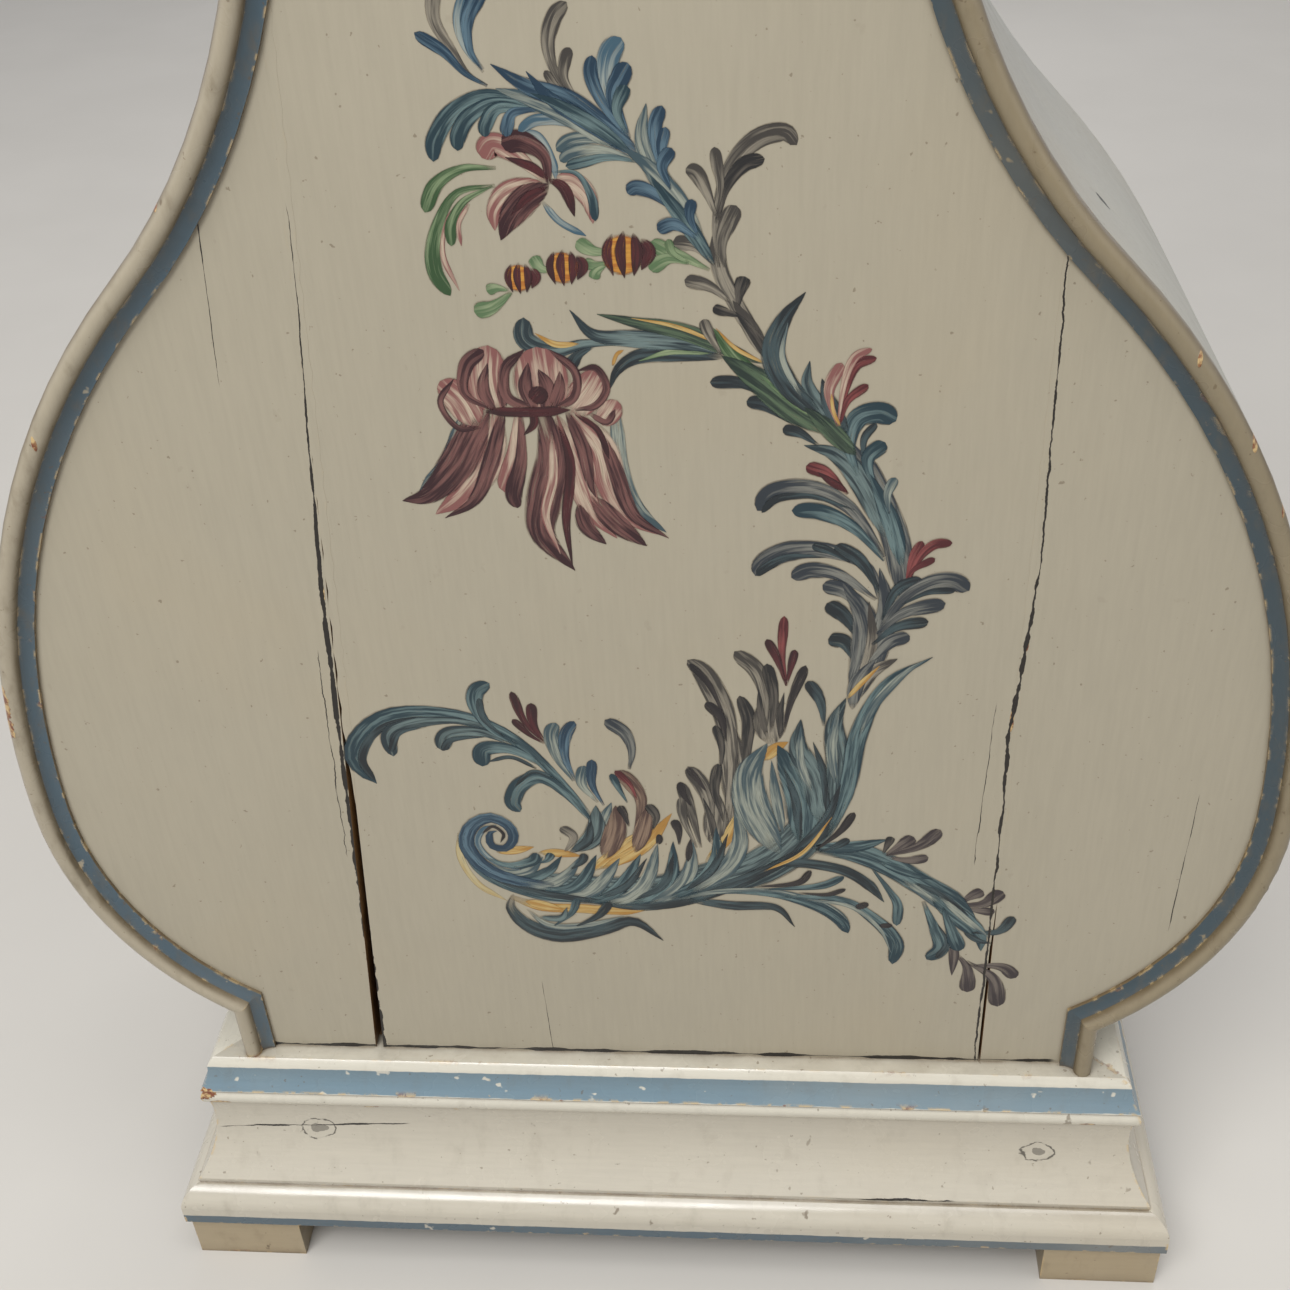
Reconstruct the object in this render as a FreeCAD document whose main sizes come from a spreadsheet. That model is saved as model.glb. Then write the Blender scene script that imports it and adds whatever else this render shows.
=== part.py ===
# Longcase clock with a pear-shaped trunk, a coved plinth on four blocks and an arched hood.
# Millimetres. +Z is up, the front faces -Y, and +X is to the right of someone who faces the clock.
# The origin lies on the floor, under the middle of the box that holds the whole clock.
import FreeCAD, Part
import math
import os

os.makedirs("parts", exist_ok=True)
doc = FreeCAD.newDocument("longcase_clock")
sheet = doc.addObject("Spreadsheet::Sheet", "sizes")

# Driving dimensions
DRIVING = (
    # Trunk and its pear-shaped outline
    ("case_depth", 210.0),
    ("belly_half_width", 315.5),
    ("belly_height", 331.5),
    ("low_arc_radius", 182.0),
    ("high_arc_radius", 500.0),
    ("high_arc_angle", 9.5),
    ("shoulder_radius", 385.0),
    ("shoulder_angle", 44.7),
    ("neck_radius", 296.0),
    ("flare_radius", 3680.0),
    ("belly_overhang", 75.5),
    ("trunk_top", 1560.0),
    ("front_board", 18.0),
    ("side_board", 9.0),
    ("back_board", 12.0),
    ("left_joint_foot", 160.0),
    ("left_joint_high", 125.5),
    ("joint_reference_height", 645.0),
    ("right_joint", 178.5),
    ("left_gap_foot", 4.5),
    ("right_gap_foot", 1.6),
    ("gap_high", 0.3),
    ("edge_moulding_width", 16.5),
    ("bead_width", 9.5),
    ("bead_rise", 9.7),
    ("bead_shoulder", 5.0),
    ("cavetto_rise", 4.5),
    ("cavetto_edge", 2.0),
    # Plinth
    ("foot_height", 33.0),
    ("foot_side", 66.0),
    ("foot_inset", 2.5),
    ("plinth_overhang", 21.5),
    ("plinth_step", 12.7),
    ("plinth_wood", 22.0),
    ("base_height", 25.0),
    ("base_projection", 28.8),
    ("base_fillet", 13.0),
    ("base_top_projection", 19.5),
    ("cove_height", 57.7),
    ("cove_low_projection", 17.8),
    ("cove_sag", 5.5),
    ("cove_fillet", 3.0),
    ("cap_height", 32.0),
    ("cap_low_projection", 3.7),
    ("cap_bead_rise", 3.2),
    ("cap_bead_height", 12.0),
    ("cap_band_projection", 6.2),
    ("cap_band_height", 15.0),
    ("cap_band_sag", 1.4),
    ("cap_band_top", 0.5),
    ("cap_top_setback", 3.0),
    ("deck", 18.0),
    # Trunk door with its hinges and rim lock
    ("door_half_width", 70.0),
    ("door_head_drop", 170.0),
    ("door_length", 530.0),
    ("door_gap", 0.5),
    ("door_panel_margin", 16.0),
    ("door_panel_band", 8.0),
    ("door_panel_rise", 3.0),
    ("hinge_leaf", 1.2),
    ("hinge_width", 14.0),
    ("hinge_height", 60.0),
    ("hinge_inset", 70.0),
    ("hinge_pin_radius", 1.5),
    ("hinge_knuckle_radius", 2.8),
    ("hinge_axis_rise", 3.0),
    ("lock_key_room", 16.0),
    ("lock_height", 46.0),
    ("lock_depth", 12.0),
    ("lock_wall", 1.5),
    ("lock_edge", 2.0),
    ("bolt_thickness", 4.0),
    ("bolt_height", 9.0),
    ("bolt_length", 26.0),
    ("key_radius", 2.5),
    ("key_hole_radius", 3.2),
    ("key_reach", 18.0),
    ("key_tail", 10.0),
    ("key_bit", 7.0),
    ("key_bit_width", 3.5),
    ("key_bit_thickness", 2.4),
    ("key_bow_radius", 8.0),
    ("key_bow_bar", 1.6),
    ("escutcheon_width", 22.0),
    ("escutcheon_height", 36.0),
    ("escutcheon_thickness", 1.2),
    ("escutcheon_margin", 1.0),
    # Neck moulding, cheeks and seat
    ("neck_moulding_height", 30.0),
    ("neck_moulding_projection", 24.0),
    ("neck_moulding_foot", 4.0),
    ("neck_moulding_fillet", 5.0),
    ("cheek_setback", 46.5),
    ("cheek_board", 12.0),
    ("cheek_lap", 60.0),
    ("seat_drop", 120.0),
    ("seat_board", 18.0),
    ("seat_setback", 12.0),
    ("line_hole_radius", 5.0),
    # Hood
    ("hood_setback", 100.5),
    ("hood_projection", 14.0),
    ("hood_front_board", 16.0),
    ("hood_side_board", 12.0),
    ("canopy_board", 8.0),
    ("moving_gap", 0.3),
    ("hood_base_height", 30.0),
    ("hood_base_projection", 13.0),
    ("hood_base_step", 9.0),
    ("dial_rise", 240.0),
    ("hood_opening_radius", 158.0),
    ("crest_height", 132.0),
    ("crest_half_width", 118.0),
    ("crest_board", 22.0),
    # Round glazed door of the hood
    ("bezel_outer_radius", 172.0),
    ("bezel_inner_radius", 147.0),
    ("bezel_depth", 14.0),
    ("bezel_lip", 5.0),
    ("glass_thickness", 2.5),
    ("glass_lap", 4.0),
    ("bezel_axis_offset", 4.0),
    ("bezel_knuckle_radius", 3.4),
    ("bezel_pin_radius", 1.6),
    ("bezel_hinge_height", 44.0),
    ("bezel_knob_radius", 5.5),
    ("bezel_knob_length", 11.0),
    # Dial and hands
    ("dial_radius", 166.0),
    ("dial_thickness", 1.6),
    ("dial_setback", 6.0),
    ("dial_foot_radius", 3.5),
    ("dial_foot_x", 50.0),
    ("dial_foot_z", 60.0),
    ("winding_hole_radius", 6.5),
    ("minute_hand_length", 124.0),
    ("hour_hand_length", 84.0),
    ("hand_thickness", 1.2),
    ("hand_hub_radius", 10.0),
    ("hand_gap", 4.0),
    # Movement frame
    ("plate_half_width", 65.0),
    ("plate_rise", 95.0),
    ("plate_thickness", 3.0),
    ("front_plate_setback", 39.25),
    ("plate_spacing", 57.0),
    ("pillar_radius", 5.0),
    ("pillar_margin", 10.0),
    # Wheels and pinions
    ("great_module", 0.95),
    ("centre_module", 0.9),
    ("third_module", 0.8),
    ("cannon_module", 0.7),
    ("wheel_thickness", 2.0),
    ("barrel_layer", 4.0),
    ("centre_layer", 50.0),
    ("third_layer", 34.0),
    ("escape_layer", 20.0),
    ("third_arbor_angle", 50.0),
    ("minute_arbor_angle", 200.0),
    ("great_wheel_thickness", 2.5),
    ("pinion_length", 6.0),
    ("arbor_radius", 1.5),
    ("pivot_radius", 1.0),
    ("centre_arbor_radius", 2.5),
    ("running_gap", 0.05),
    ("barrel_radius", 24.0),
    ("barrel_flange_radius", 30.0),
    ("barrel_flange", 2.0),
    ("barrel_length", 38.0),
    ("barrel_arbor_radius", 3.0),
    ("winding_square", 5.0),
    ("escape_radius", 22.0),
    ("escape_tooth", 4.5),
    ("pallet_gap", 1.6),
    ("anchor_width", 4.5),
    ("cannon_pipe_radius", 4.0),
    ("hour_pipe_radius", 5.6),
    # Pendulum, weight and line
    ("pendulum_setback", 27.0),
    ("pendulum_length", 994.0),
    ("pendulum_rod_radius", 3.0),
    ("suspension_length", 60.0),
    ("suspension_width", 8.0),
    ("suspension_thickness", 0.4),
    ("bob_radius", 45.0),
    ("bob_thickness", 26.0),
    ("rating_nut_radius", 8.0),
    ("rating_nut_height", 7.0),
    ("crutch_length", 120.0),
    ("weight_radius", 31.0),
    ("weight_height", 150.0),
    ("weight_foot", 200.0),
    ("pulley_radius", 22.0),
    ("pulley_thickness", 9.0),
    ("pulley_rise", 52.0),
    ("line_radius", 1.0),
)

# Sizes and heights that are counted from what carries them
TIED = (
    ("leg_half_width", "belly_half_width - belly_overhang"),
    ("plinth_half_width", "leg_half_width + plinth_overhang"),
    ("door_head", "trunk_top - door_head_drop"),
    ("door_foot", "door_head - door_length"),
    ("hood_half_width", "belly_half_width - hood_setback"),
    ("cheek_outer", "hood_half_width - cheek_setback"),
    ("cheek_foot", "trunk_top - cheek_lap"),
    ("dial_height", "trunk_top + dial_rise"),
    ("seat_top", "dial_height - seat_drop"),
    ("plate_top", "dial_height + plate_rise"),
)

# Whole numbers that count things
GREAT_TEETH = 96
CENTRE_TEETH = 64
THIRD_TEETH = 60
ESCAPE_TEETH = 30
PINION_LEAVES = 8
CANNON_TEETH = 24
MINUTE_TEETH = 72
HOUR_PINION_LEAVES = 12
HOUR_TEETH = 48
SPOKES = 4
HALVINGS = 40


class Size:
    """A length that keeps its value and the sheet expression it comes from."""

    def __init__(self, value, text):
        self.value = float(value)
        self.text = text

    def _join(self, other, sign, value, swap=False):
        other_text = other.text if isinstance(other, Size) else repr(other)
        first, second = (other_text, self.text) if swap else (self.text, other_text)
        return Size(value, "(" + first + " " + sign + " " + second + ")")

    def __add__(self, other):
        return self._join(other, "+", self.value + float(other))

    def __radd__(self, other):
        return self._join(other, "+", float(other) + self.value, True)

    def __sub__(self, other):
        return self._join(other, "-", self.value - float(other))

    def __rsub__(self, other):
        return self._join(other, "-", float(other) - self.value, True)

    def __mul__(self, other):
        return self._join(other, "*", self.value * float(other))

    def __rmul__(self, other):
        return self._join(other, "*", float(other) * self.value, True)

    def __truediv__(self, other):
        return self._join(other, "/", self.value / float(other))

    def __neg__(self):
        return Size(-self.value, "(0 - " + self.text + ")")

    def __float__(self):
        return self.value


class Sizes:
    """Every driving dimension, by name."""


S = Sizes()
for row, (word, number) in enumerate(DRIVING, start=1):
    cell = "B" + str(row)
    sheet.set("A" + str(row), word)
    sheet.set(cell, str(number))
    sheet.setAlias(cell, word)
for row, (word, formula) in enumerate(TIED, start=len(DRIVING) + 1):
    cell = "B" + str(row)
    sheet.set("A" + str(row), word)
    sheet.set(cell, "=" + formula)
    sheet.setAlias(cell, word)
doc.recompute()
for word, _ in DRIVING + TIED:
    setattr(S, word, Size(sheet.get(word), "sizes." + word))

PIECES = {}


# Helpers
def keep(label, shape_object):
    """Take an object of the document as the piece called label."""
    shape_object.Label = label
    PIECES[label] = shape_object
    return shape_object


def set_size(target, path, amount):
    """Give a property its value, bound to the sheet where it comes from there."""
    if isinstance(amount, Size):
        target.setExpression(path, amount.text)
    elif not path.startswith("Placement"):
        setattr(target, path, amount)


def set_place(target, place, rotation=None):
    """Put an object where place says, with each coordinate bound to the sheet."""
    base = FreeCAD.Vector(*[float(value) for value in place])
    target.Placement = FreeCAD.Placement(base, rotation or FreeCAD.Rotation())
    for letter, value in zip("xyz", place):
        set_size(target, "Placement.Base." + letter, value)


def block(name, low, high):
    """A box between two corners."""
    box = doc.addObject("Part::Box", name)
    for prop, first, last in zip(("Length", "Width", "Height"), low, high):
        set_size(box, prop, last - first)
    set_place(box, low)
    return box


TURNS = {
    "x": FreeCAD.Rotation(FreeCAD.Vector(0, 1, 0), 90),
    "y": FreeCAD.Rotation(FreeCAD.Vector(1, 0, 0), -90),
    "z": FreeCAD.Rotation(),
}


def rod(name, axis, start, radius, length):
    """A round bar that runs from start along +axis."""
    bar = doc.addObject("Part::Cylinder", name)
    set_size(bar, "Radius", radius)
    set_size(bar, "Height", length)
    set_place(bar, start, TURNS[axis])
    return bar


def cone(name, axis, start, first_radius, last_radius, length):
    """A tapered round bar that runs from start along +axis."""
    taper = doc.addObject("Part::Cone", name)
    set_size(taper, "Radius1", first_radius)
    set_size(taper, "Radius2", last_radius)
    set_size(taper, "Height", length)
    set_place(taper, start, TURNS[axis])
    return taper


def ring(name, axis, centre, radius, bar_radius):
    """A round ring about the given axis."""
    torus = doc.addObject("Part::Torus", name)
    set_size(torus, "Radius1", radius)
    set_size(torus, "Radius2", bar_radius)
    set_place(torus, centre, TURNS[axis])
    return torus


def fused(name, objects):
    """Objects joined into one solid."""
    joined = doc.addObject("Part::MultiFuse", name)
    joined.Shapes = objects
    joined.Refine = True
    return joined


def cut(name, base, tool):
    """The base with the tool taken away."""
    left = doc.addObject("Part::Cut", name)
    left.Base = base
    left.Tool = tool
    return left


def together(name, objects):
    """Separate solids that share one node."""
    group = doc.addObject("Part::Compound", name)
    group.Links = objects
    return group


def solid(name, shape):
    """A piece whose form needs its own construction."""
    feature = doc.addObject("Part::Feature", name)
    feature.Shape = shape
    return feature


def point(across, up):
    """A point of a drawing, from two lengths."""
    return FreeCAD.Vector(float(across), float(up), 0)


def lines(points, closed=False):
    """Straight edges through points."""
    ends = points[1:] + points[:1] if closed else points[1:]
    return [Part.LineSegment(first, last) for first, last in zip(points, ends)]


def circle(centre, radius):
    """A full circle of a drawing."""
    return Part.Circle(centre, FreeCAD.Vector(0, 0, 1), float(radius))


def polar(centre, radius, angle):
    """The point at an angle in radians, counted from +across towards +up."""
    turn = FreeCAD.Vector(math.cos(angle), math.sin(angle), 0)
    return centre + turn * float(radius)


def arc(centre, radius, start, end):
    """The arc of a circle between two angles."""
    middle = (start + end) / 2
    return Part.Arc(polar(centre, radius, start), polar(centre, radius, middle), polar(centre, radius, end))


def sketch_body(name, geometry, plane, start, length):
    """A body that is one sketch, padded by length from start against the plane's normal or along it."""
    body = doc.addObject("PartDesign::Body", name)
    sketch = body.newObject("Sketcher::SketchObject", name + "_sketch")
    roles = {feature.Role: feature for feature in body.Origin.OriginFeatures}
    sketch.AttachmentSupport = [(roles[plane], "")]
    sketch.MapMode = "FlatFace"
    sketch.addGeometry(geometry, False)
    away = -start if plane == "XZ_Plane" else start
    sketch.AttachmentOffset = FreeCAD.Placement(FreeCAD.Vector(0, 0, float(away)), FreeCAD.Rotation())
    if isinstance(away, Size):
        sketch.setExpression("AttachmentOffset.Base.z", away.text)
    pad = body.newObject("PartDesign::Pad", name + "_pad")
    pad.Profile = sketch
    set_size(pad, "Length", length)
    body.Tip = pad
    return body


def board(name, geometry, front, thickness):
    """An upright board, drawn in X and Z, whose front face lies at front."""
    return sketch_body(name, geometry, "XZ_Plane", front + thickness, thickness)


def face_of(geometry):
    """A flat face from the outer loop of edges, in drawing coordinates."""
    edges = [piece.toShape() for piece in geometry]
    return Part.Face(Part.Wire(Part.__sortEdges__(edges)))


def upright(shape):
    """Turn a drawing in across and up into X and Z."""
    turned = shape.copy()
    turned.rotate(FreeCAD.Vector(0, 0, 0), FreeCAD.Vector(1, 0, 0), 90)
    return turned


def upright_prism(geometry, front, thickness):
    """A prism of an upright drawing, from front towards the back."""
    face = upright(face_of(geometry))
    face.translate(FreeCAD.Vector(0, float(front), 0))
    return face.extrude(FreeCAD.Vector(0, float(thickness), 0))


def joined(shapes):
    """Shapes fused into one solid."""
    return shapes[0].fuse(shapes[1:]).removeSplitter()


def mirrored(shape):
    """The shape on the other side of the clock."""
    return shape.mirror(FreeCAD.Vector(0, 0, 0), FreeCAD.Vector(1, 0, 0))


# Planes that the pieces share
front_reach = S.plinth_step + S.base_projection
wall_y = (S.case_depth + front_reach) / 2
panel_y = wall_y - S.case_depth
plinth_y = panel_y - S.plinth_step
panel_back_y = panel_y + S.front_board
back_board_y = wall_y - S.back_board
hood_y = panel_y - S.hood_projection
cove_foot = S.foot_height + S.base_height
cove_top = cove_foot + S.cove_height
plinth_top = cove_top + S.cap_height
neck_foot = S.trunk_top - S.neck_moulding_height


# Outline of the trunk: tangent arcs from the belly's lower corner up to the hood
high_turn = math.radians(float(S.high_arc_angle))
shoulder_turn = math.radians(float(S.shoulder_angle))
low_centre = point(S.belly_half_width - S.low_arc_radius, S.belly_height)
high_centre = point(S.belly_half_width - S.high_arc_radius, S.belly_height)
shoulder_centre = polar(high_centre, S.high_arc_radius - S.shoulder_radius, high_turn)
neck_centre = polar(shoulder_centre, S.shoulder_radius + S.neck_radius, shoulder_turn)
flare_centre = point(neck_centre.x - float(S.neck_radius) + float(S.flare_radius), neck_centre.y)
neck_height = neck_centre.y

# Each arc: its centre, its radius, 1 where it bulges outwards and -1 where it is hollow
ARCS = (
    (low_centre, S.low_arc_radius, 1),
    (high_centre, S.high_arc_radius, 1),
    (shoulder_centre, S.shoulder_radius, 1),
    (neck_centre, S.neck_radius, -1),
    (flare_centre, S.flare_radius, -1),
)


def arc_limits(inset):
    """The heights at which one arc gives way to the next, for a line that runs inset inside the outline."""
    inset = float(inset)
    high_radius = float(S.high_arc_radius) - inset
    shoulder_radius = float(S.shoulder_radius) - inset
    return (
        high_centre.y,
        high_centre.y + high_radius * math.sin(high_turn),
        shoulder_centre.y + shoulder_radius * math.sin(shoulder_turn),
        neck_height,
    )


def arc_angle(index, height, inset):
    """The angle at which an arc of the inset outline reaches a height."""
    centre, radius, bulge = ARCS[index]
    share = (float(height) - centre.y) / (float(radius) - bulge * float(inset))
    turn = math.asin(max(-1.0, min(1.0, share)))
    return turn if bulge > 0 else math.pi - turn


def half_width(height, inset=0):
    """How far the inset outline stands from the middle at a height."""
    index = sum(1 for limit in arc_limits(inset) if float(height) > limit)
    centre, radius, bulge = ARCS[index]
    return polar(centre, float(radius) - bulge * float(inset), arc_angle(index, height, inset)).x


def outline_path(low, high, inset=0):
    """The arcs of the right-hand outline between two heights, from the bottom up."""
    heights = [float(low)]
    heights += [limit for limit in arc_limits(inset) if float(low) < limit < float(high)]
    heights.append(float(high))
    path = []
    for start, end in zip(heights, heights[1:]):
        index = sum(1 for limit in arc_limits(inset) if (start + end) / 2 > limit)
        centre, radius, bulge = ARCS[index]
        turns = (arc_angle(index, start, inset), arc_angle(index, end, inset))
        path.append(arc(centre, float(radius) - bulge * float(inset), *turns))
    return path


def flipped(geometry):
    """The drawing on the other side of the middle line."""
    turned = []
    for piece in geometry:
        copy = piece.copy()
        copy.mirror(FreeCAD.Vector(0, 0, 0), FreeCAD.Vector(0, 1, 0))
        turned.append(copy)
    return turned


# The lower corner of the belly, where the bent side meets its upright foot
corner_reach = float(S.leg_half_width) - low_centre.x
corner_z = low_centre.y - math.sqrt(float(S.low_arc_radius) ** 2 - corner_reach ** 2)
inner_leg = S.leg_half_width - S.side_board


def joint_x(height):
    """The slanting joint between the left and the middle board of the front."""
    slope = float(S.left_joint_foot - S.left_joint_high) / float(S.joint_reference_height - plinth_top)
    return -float(S.left_joint_foot) + slope * (float(height) - float(plinth_top))


def crossing(reach):
    """The height at which the boards' outline is as wide as reach says, or the top where it never is."""
    if half_width(neck_height, S.side_board) > reach(neck_height):
        return float(S.trunk_top)
    low = float(S.belly_height)
    high = neck_height
    for _ in range(HALVINGS):
        middle = (low + high) / 2
        if half_width(middle, S.side_board) > reach(middle):
            low = middle
        else:
            high = middle
    return low


left_crossing = crossing(lambda height: -joint_x(height))
right_crossing = crossing(lambda height: float(S.right_joint))


def bow(start, end, sag):
    """An arc from start to end that stands sag to the left of the straight way."""
    way = end - start
    side = FreeCAD.Vector(-way.y, way.x, 0)
    side.normalize()
    return Part.Arc(start, (start + end) / 2 + side * float(sag), end)


# Mitred members that run round the front and both sides of a box
def mitred(profile, half_box, front, back, reach, wood):
    """The front length and the right-hand length of one profile, drawn as projection and height."""
    face = upright(face_of(profile))
    outer = float(half_box) + float(reach)
    inner = float(half_box) - float(wood)
    front_outer = float(front) - float(reach)
    front_inner = float(front) + float(wood)
    low = face.BoundBox.ZMin
    rise = FreeCAD.Vector(0, 0, face.BoundBox.ZLength)
    mitre_outer = FreeCAD.Vector(outer, front_outer, low)
    mitre_inner = FreeCAD.Vector(inner, front_inner, low)
    other_outer = FreeCAD.Vector(-outer, front_outer, low)
    other_inner = FreeCAD.Vector(-inner, front_inner, low)
    front_plan = (mitre_outer, mitre_inner, other_inner, other_outer, mitre_outer)
    back_outer = FreeCAD.Vector(outer, float(back), low)
    back_inner = FreeCAD.Vector(inner, float(back), low)
    side_plan = (mitre_outer, back_outer, back_inner, mitre_inner, mitre_outer)
    front_face = face.copy()
    front_face.rotate(FreeCAD.Vector(0, 0, 0), FreeCAD.Vector(0, 0, 1), -90)
    front_face.translate(FreeCAD.Vector(-outer, float(front), 0))
    front_bar = front_face.extrude(FreeCAD.Vector(2 * outer, 0, 0))
    side_face = face.copy()
    side_face.translate(FreeCAD.Vector(float(half_box), front_outer, 0))
    side_bar = side_face.extrude(FreeCAD.Vector(0, float(back) - front_outer, 0))
    front_wedge = Part.Face(Part.makePolygon(front_plan)).extrude(rise)
    side_wedge = Part.Face(Part.makePolygon(side_plan)).extrude(rise)
    return front_bar.common(front_wedge), side_bar.common(side_wedge)


# Feet
foot_out_x = S.plinth_half_width + S.base_projection - S.foot_inset
foot_front_y = plinth_y - S.base_projection + S.foot_inset
foot_back_y = wall_y - S.foot_inset
feet = []
for foot_x in (foot_out_x - S.foot_side, -foot_out_x):
    for foot_y in (foot_front_y, foot_back_y - S.foot_side):
        foot_low = (foot_x, foot_y, 0.0)
        foot_high = (foot_x + S.foot_side, foot_y + S.foot_side, S.foot_height)
        feet.append(block("foot", foot_low, foot_high))
keep("feet", together("feet", feet))


# Plinth
def plinth_members(front_label, side_label, profile, reach):
    """One course of the plinth: its front length and its two side lengths."""
    front_bar, side_bar = mitred(
        profile, S.plinth_half_width, plinth_y, wall_y, reach, S.plinth_wood
    )
    keep(front_label, solid(front_label, front_bar))
    keep(side_label, solid(side_label, Part.makeCompound([side_bar, mirrored(side_bar)])))


base_shoulder = point(S.base_projection, S.foot_height + S.base_fillet)
base_top = point(S.base_top_projection, cove_foot)
base_profile = lines([
    base_top,
    point(-S.plinth_wood, cove_foot),
    point(-S.plinth_wood, S.foot_height),
    point(S.base_projection, S.foot_height),
    base_shoulder,
])
base_profile.append(bow(base_shoulder, base_top, -(S.base_projection - S.base_top_projection) / 4))
plinth_members("base_moulding_front", "base_moulding_sides", base_profile, S.base_projection)

cove_start = point(S.cove_low_projection, cove_foot + S.cove_fillet)
cove_end = point(S.cap_low_projection, cove_top)
cove_profile = lines([
    cove_end,
    point(-S.plinth_wood, cove_top),
    point(-S.plinth_wood, cove_foot),
    point(S.cove_low_projection, cove_foot),
    cove_start,
])
cove_profile.append(bow(cove_start, cove_end, S.cove_sag))
plinth_members("plinth_cove_front", "plinth_cove_sides", cove_profile, S.cove_low_projection)

cap_bead_end = point(S.cap_low_projection, cove_top + S.cap_bead_height)
cap_band_foot = point(S.cap_band_projection, cove_top + S.cap_bead_height)
cap_band_head = point(S.cap_band_top, cove_top + S.cap_bead_height + S.cap_band_height)
cap_top_edge = point(-S.cap_top_setback, plinth_top)
cap_profile = lines([
    cap_top_edge,
    point(-S.plinth_wood, plinth_top),
    point(-S.plinth_wood, cove_top),
    cove_end,
])
cap_profile.append(bow(cove_end, cap_bead_end, -S.cap_bead_rise))
cap_profile += lines([cap_bead_end, cap_band_foot])
cap_profile.append(bow(cap_band_foot, cap_band_head, S.cap_band_sag))
cap_profile.append(bow(cap_band_head, cap_top_edge, -S.cap_band_top))
cap_reach = S.cap_low_projection + S.cap_bead_rise
plinth_members("plinth_cap_front", "plinth_cap_sides", cap_profile, cap_reach)

deck_half = S.plinth_half_width - S.plinth_wood
deck_low = (-deck_half, plinth_y + S.plinth_wood, plinth_top - S.deck)
keep("plinth_deck", block("plinth_deck", deck_low, (deck_half, wall_y, plinth_top)))


# Front boards
def wing(reach, foot_gap):
    """The board between a joint and the right-hand outline."""
    tip = crossing(lambda height: reach(height) + float(S.gap_high))
    corner = point(half_width(corner_z, S.side_board), corner_z)
    edge_top = point(half_width(tip, S.side_board), tip)
    joint_top = [point(reach(tip) + float(S.gap_high), tip)] if tip == float(S.trunk_top) else []
    straight = lines([
        edge_top,
        *joint_top,
        point(reach(float(plinth_top)) + float(foot_gap), plinth_top),
        point(inner_leg, plinth_top),
        point(inner_leg, corner_z),
        corner,
    ])
    return straight + outline_path(corner_z, tip, S.side_board)


top_half = half_width(S.trunk_top, S.side_board)
opening_half = S.door_half_width + S.door_gap
opening_foot = S.door_foot - S.door_gap
opening_head = S.door_head + S.door_gap
left_joint_top = point(joint_x(left_crossing), left_crossing)
right_joint_top = point(S.right_joint, right_crossing)
centre_top = [point(top_half, S.trunk_top), point(-top_half, S.trunk_top)]
centre_edges = []
if right_crossing < float(S.trunk_top):
    right_joint_top = point(half_width(right_crossing, S.side_board), right_crossing)
    centre_edges += outline_path(right_crossing, S.trunk_top, S.side_board)
else:
    centre_top[0] = right_joint_top
if left_crossing < float(S.trunk_top):
    left_joint_top = point(-half_width(left_crossing, S.side_board), left_crossing)
    centre_edges += flipped(outline_path(left_crossing, S.trunk_top, S.side_board))
else:
    centre_top[1] = left_joint_top
centre_edges += lines([
    left_joint_top,
    point(joint_x(plinth_top), plinth_top),
    point(S.right_joint, plinth_top),
    right_joint_top,
])
centre_edges += lines(centre_top)
centre_edges += lines([
    point(-opening_half, opening_foot),
    point(opening_half, opening_foot),
    point(opening_half, opening_head),
    point(-opening_half, opening_head),
], closed=True)
keep("front_board_centre", board("front_board_centre", centre_edges, panel_y, S.front_board))

right_edges = wing(lambda height: float(S.right_joint), S.right_gap_foot)
keep("front_board_right", board("front_board_right", right_edges, panel_y, S.front_board))
left_edges = flipped(wing(lambda height: -joint_x(height), S.left_gap_foot))
keep("front_board_left", board("front_board_left", left_edges, panel_y, S.front_board))


# Bent sides and the straight strips under them
side_edges = outline_path(corner_z, S.trunk_top) + outline_path(corner_z, S.trunk_top, S.side_board)
side_edges += lines([
    point(half_width(corner_z), corner_z),
    point(half_width(corner_z, S.side_board), corner_z),
])
side_edges += lines([point(half_width(S.trunk_top), S.trunk_top), point(top_half, S.trunk_top)])
keep("side_board_right", board("side_board_right", side_edges, panel_y, S.case_depth))
keep("side_board_left", board("side_board_left", flipped(side_edges), panel_y, S.case_depth))
strips = [
    block("right_strip", (inner_leg, panel_y, plinth_top), (S.leg_half_width, wall_y, corner_z)),
    block("left_strip", (-S.leg_half_width, panel_y, plinth_top), (-inner_leg, wall_y, corner_z)),
]
keep("lower_side_strips", together("lower_side_strips", strips))


# Edge mouldings: a bead and a hollow that follow the outline
def moulding_profile():
    """The moulding's section, drawn as distance inside the edge and rise from the board."""
    outer_top = point(0, S.bead_shoulder)
    bead_end = point(S.bead_width, S.cavetto_rise)
    bead_top = point(S.bead_width / 2, S.bead_rise)
    inner_top = point(S.edge_moulding_width, S.cavetto_edge)
    section = lines([inner_top, point(S.edge_moulding_width, 0), point(0, 0), outer_top])
    section.append(Part.Arc(outer_top, bead_top, bead_end))
    section.append(bow(bead_end, inner_top, -(S.cavetto_rise - S.cavetto_edge) / 4))
    return section


MOULDING_FACE = face_of(moulding_profile())


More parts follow.
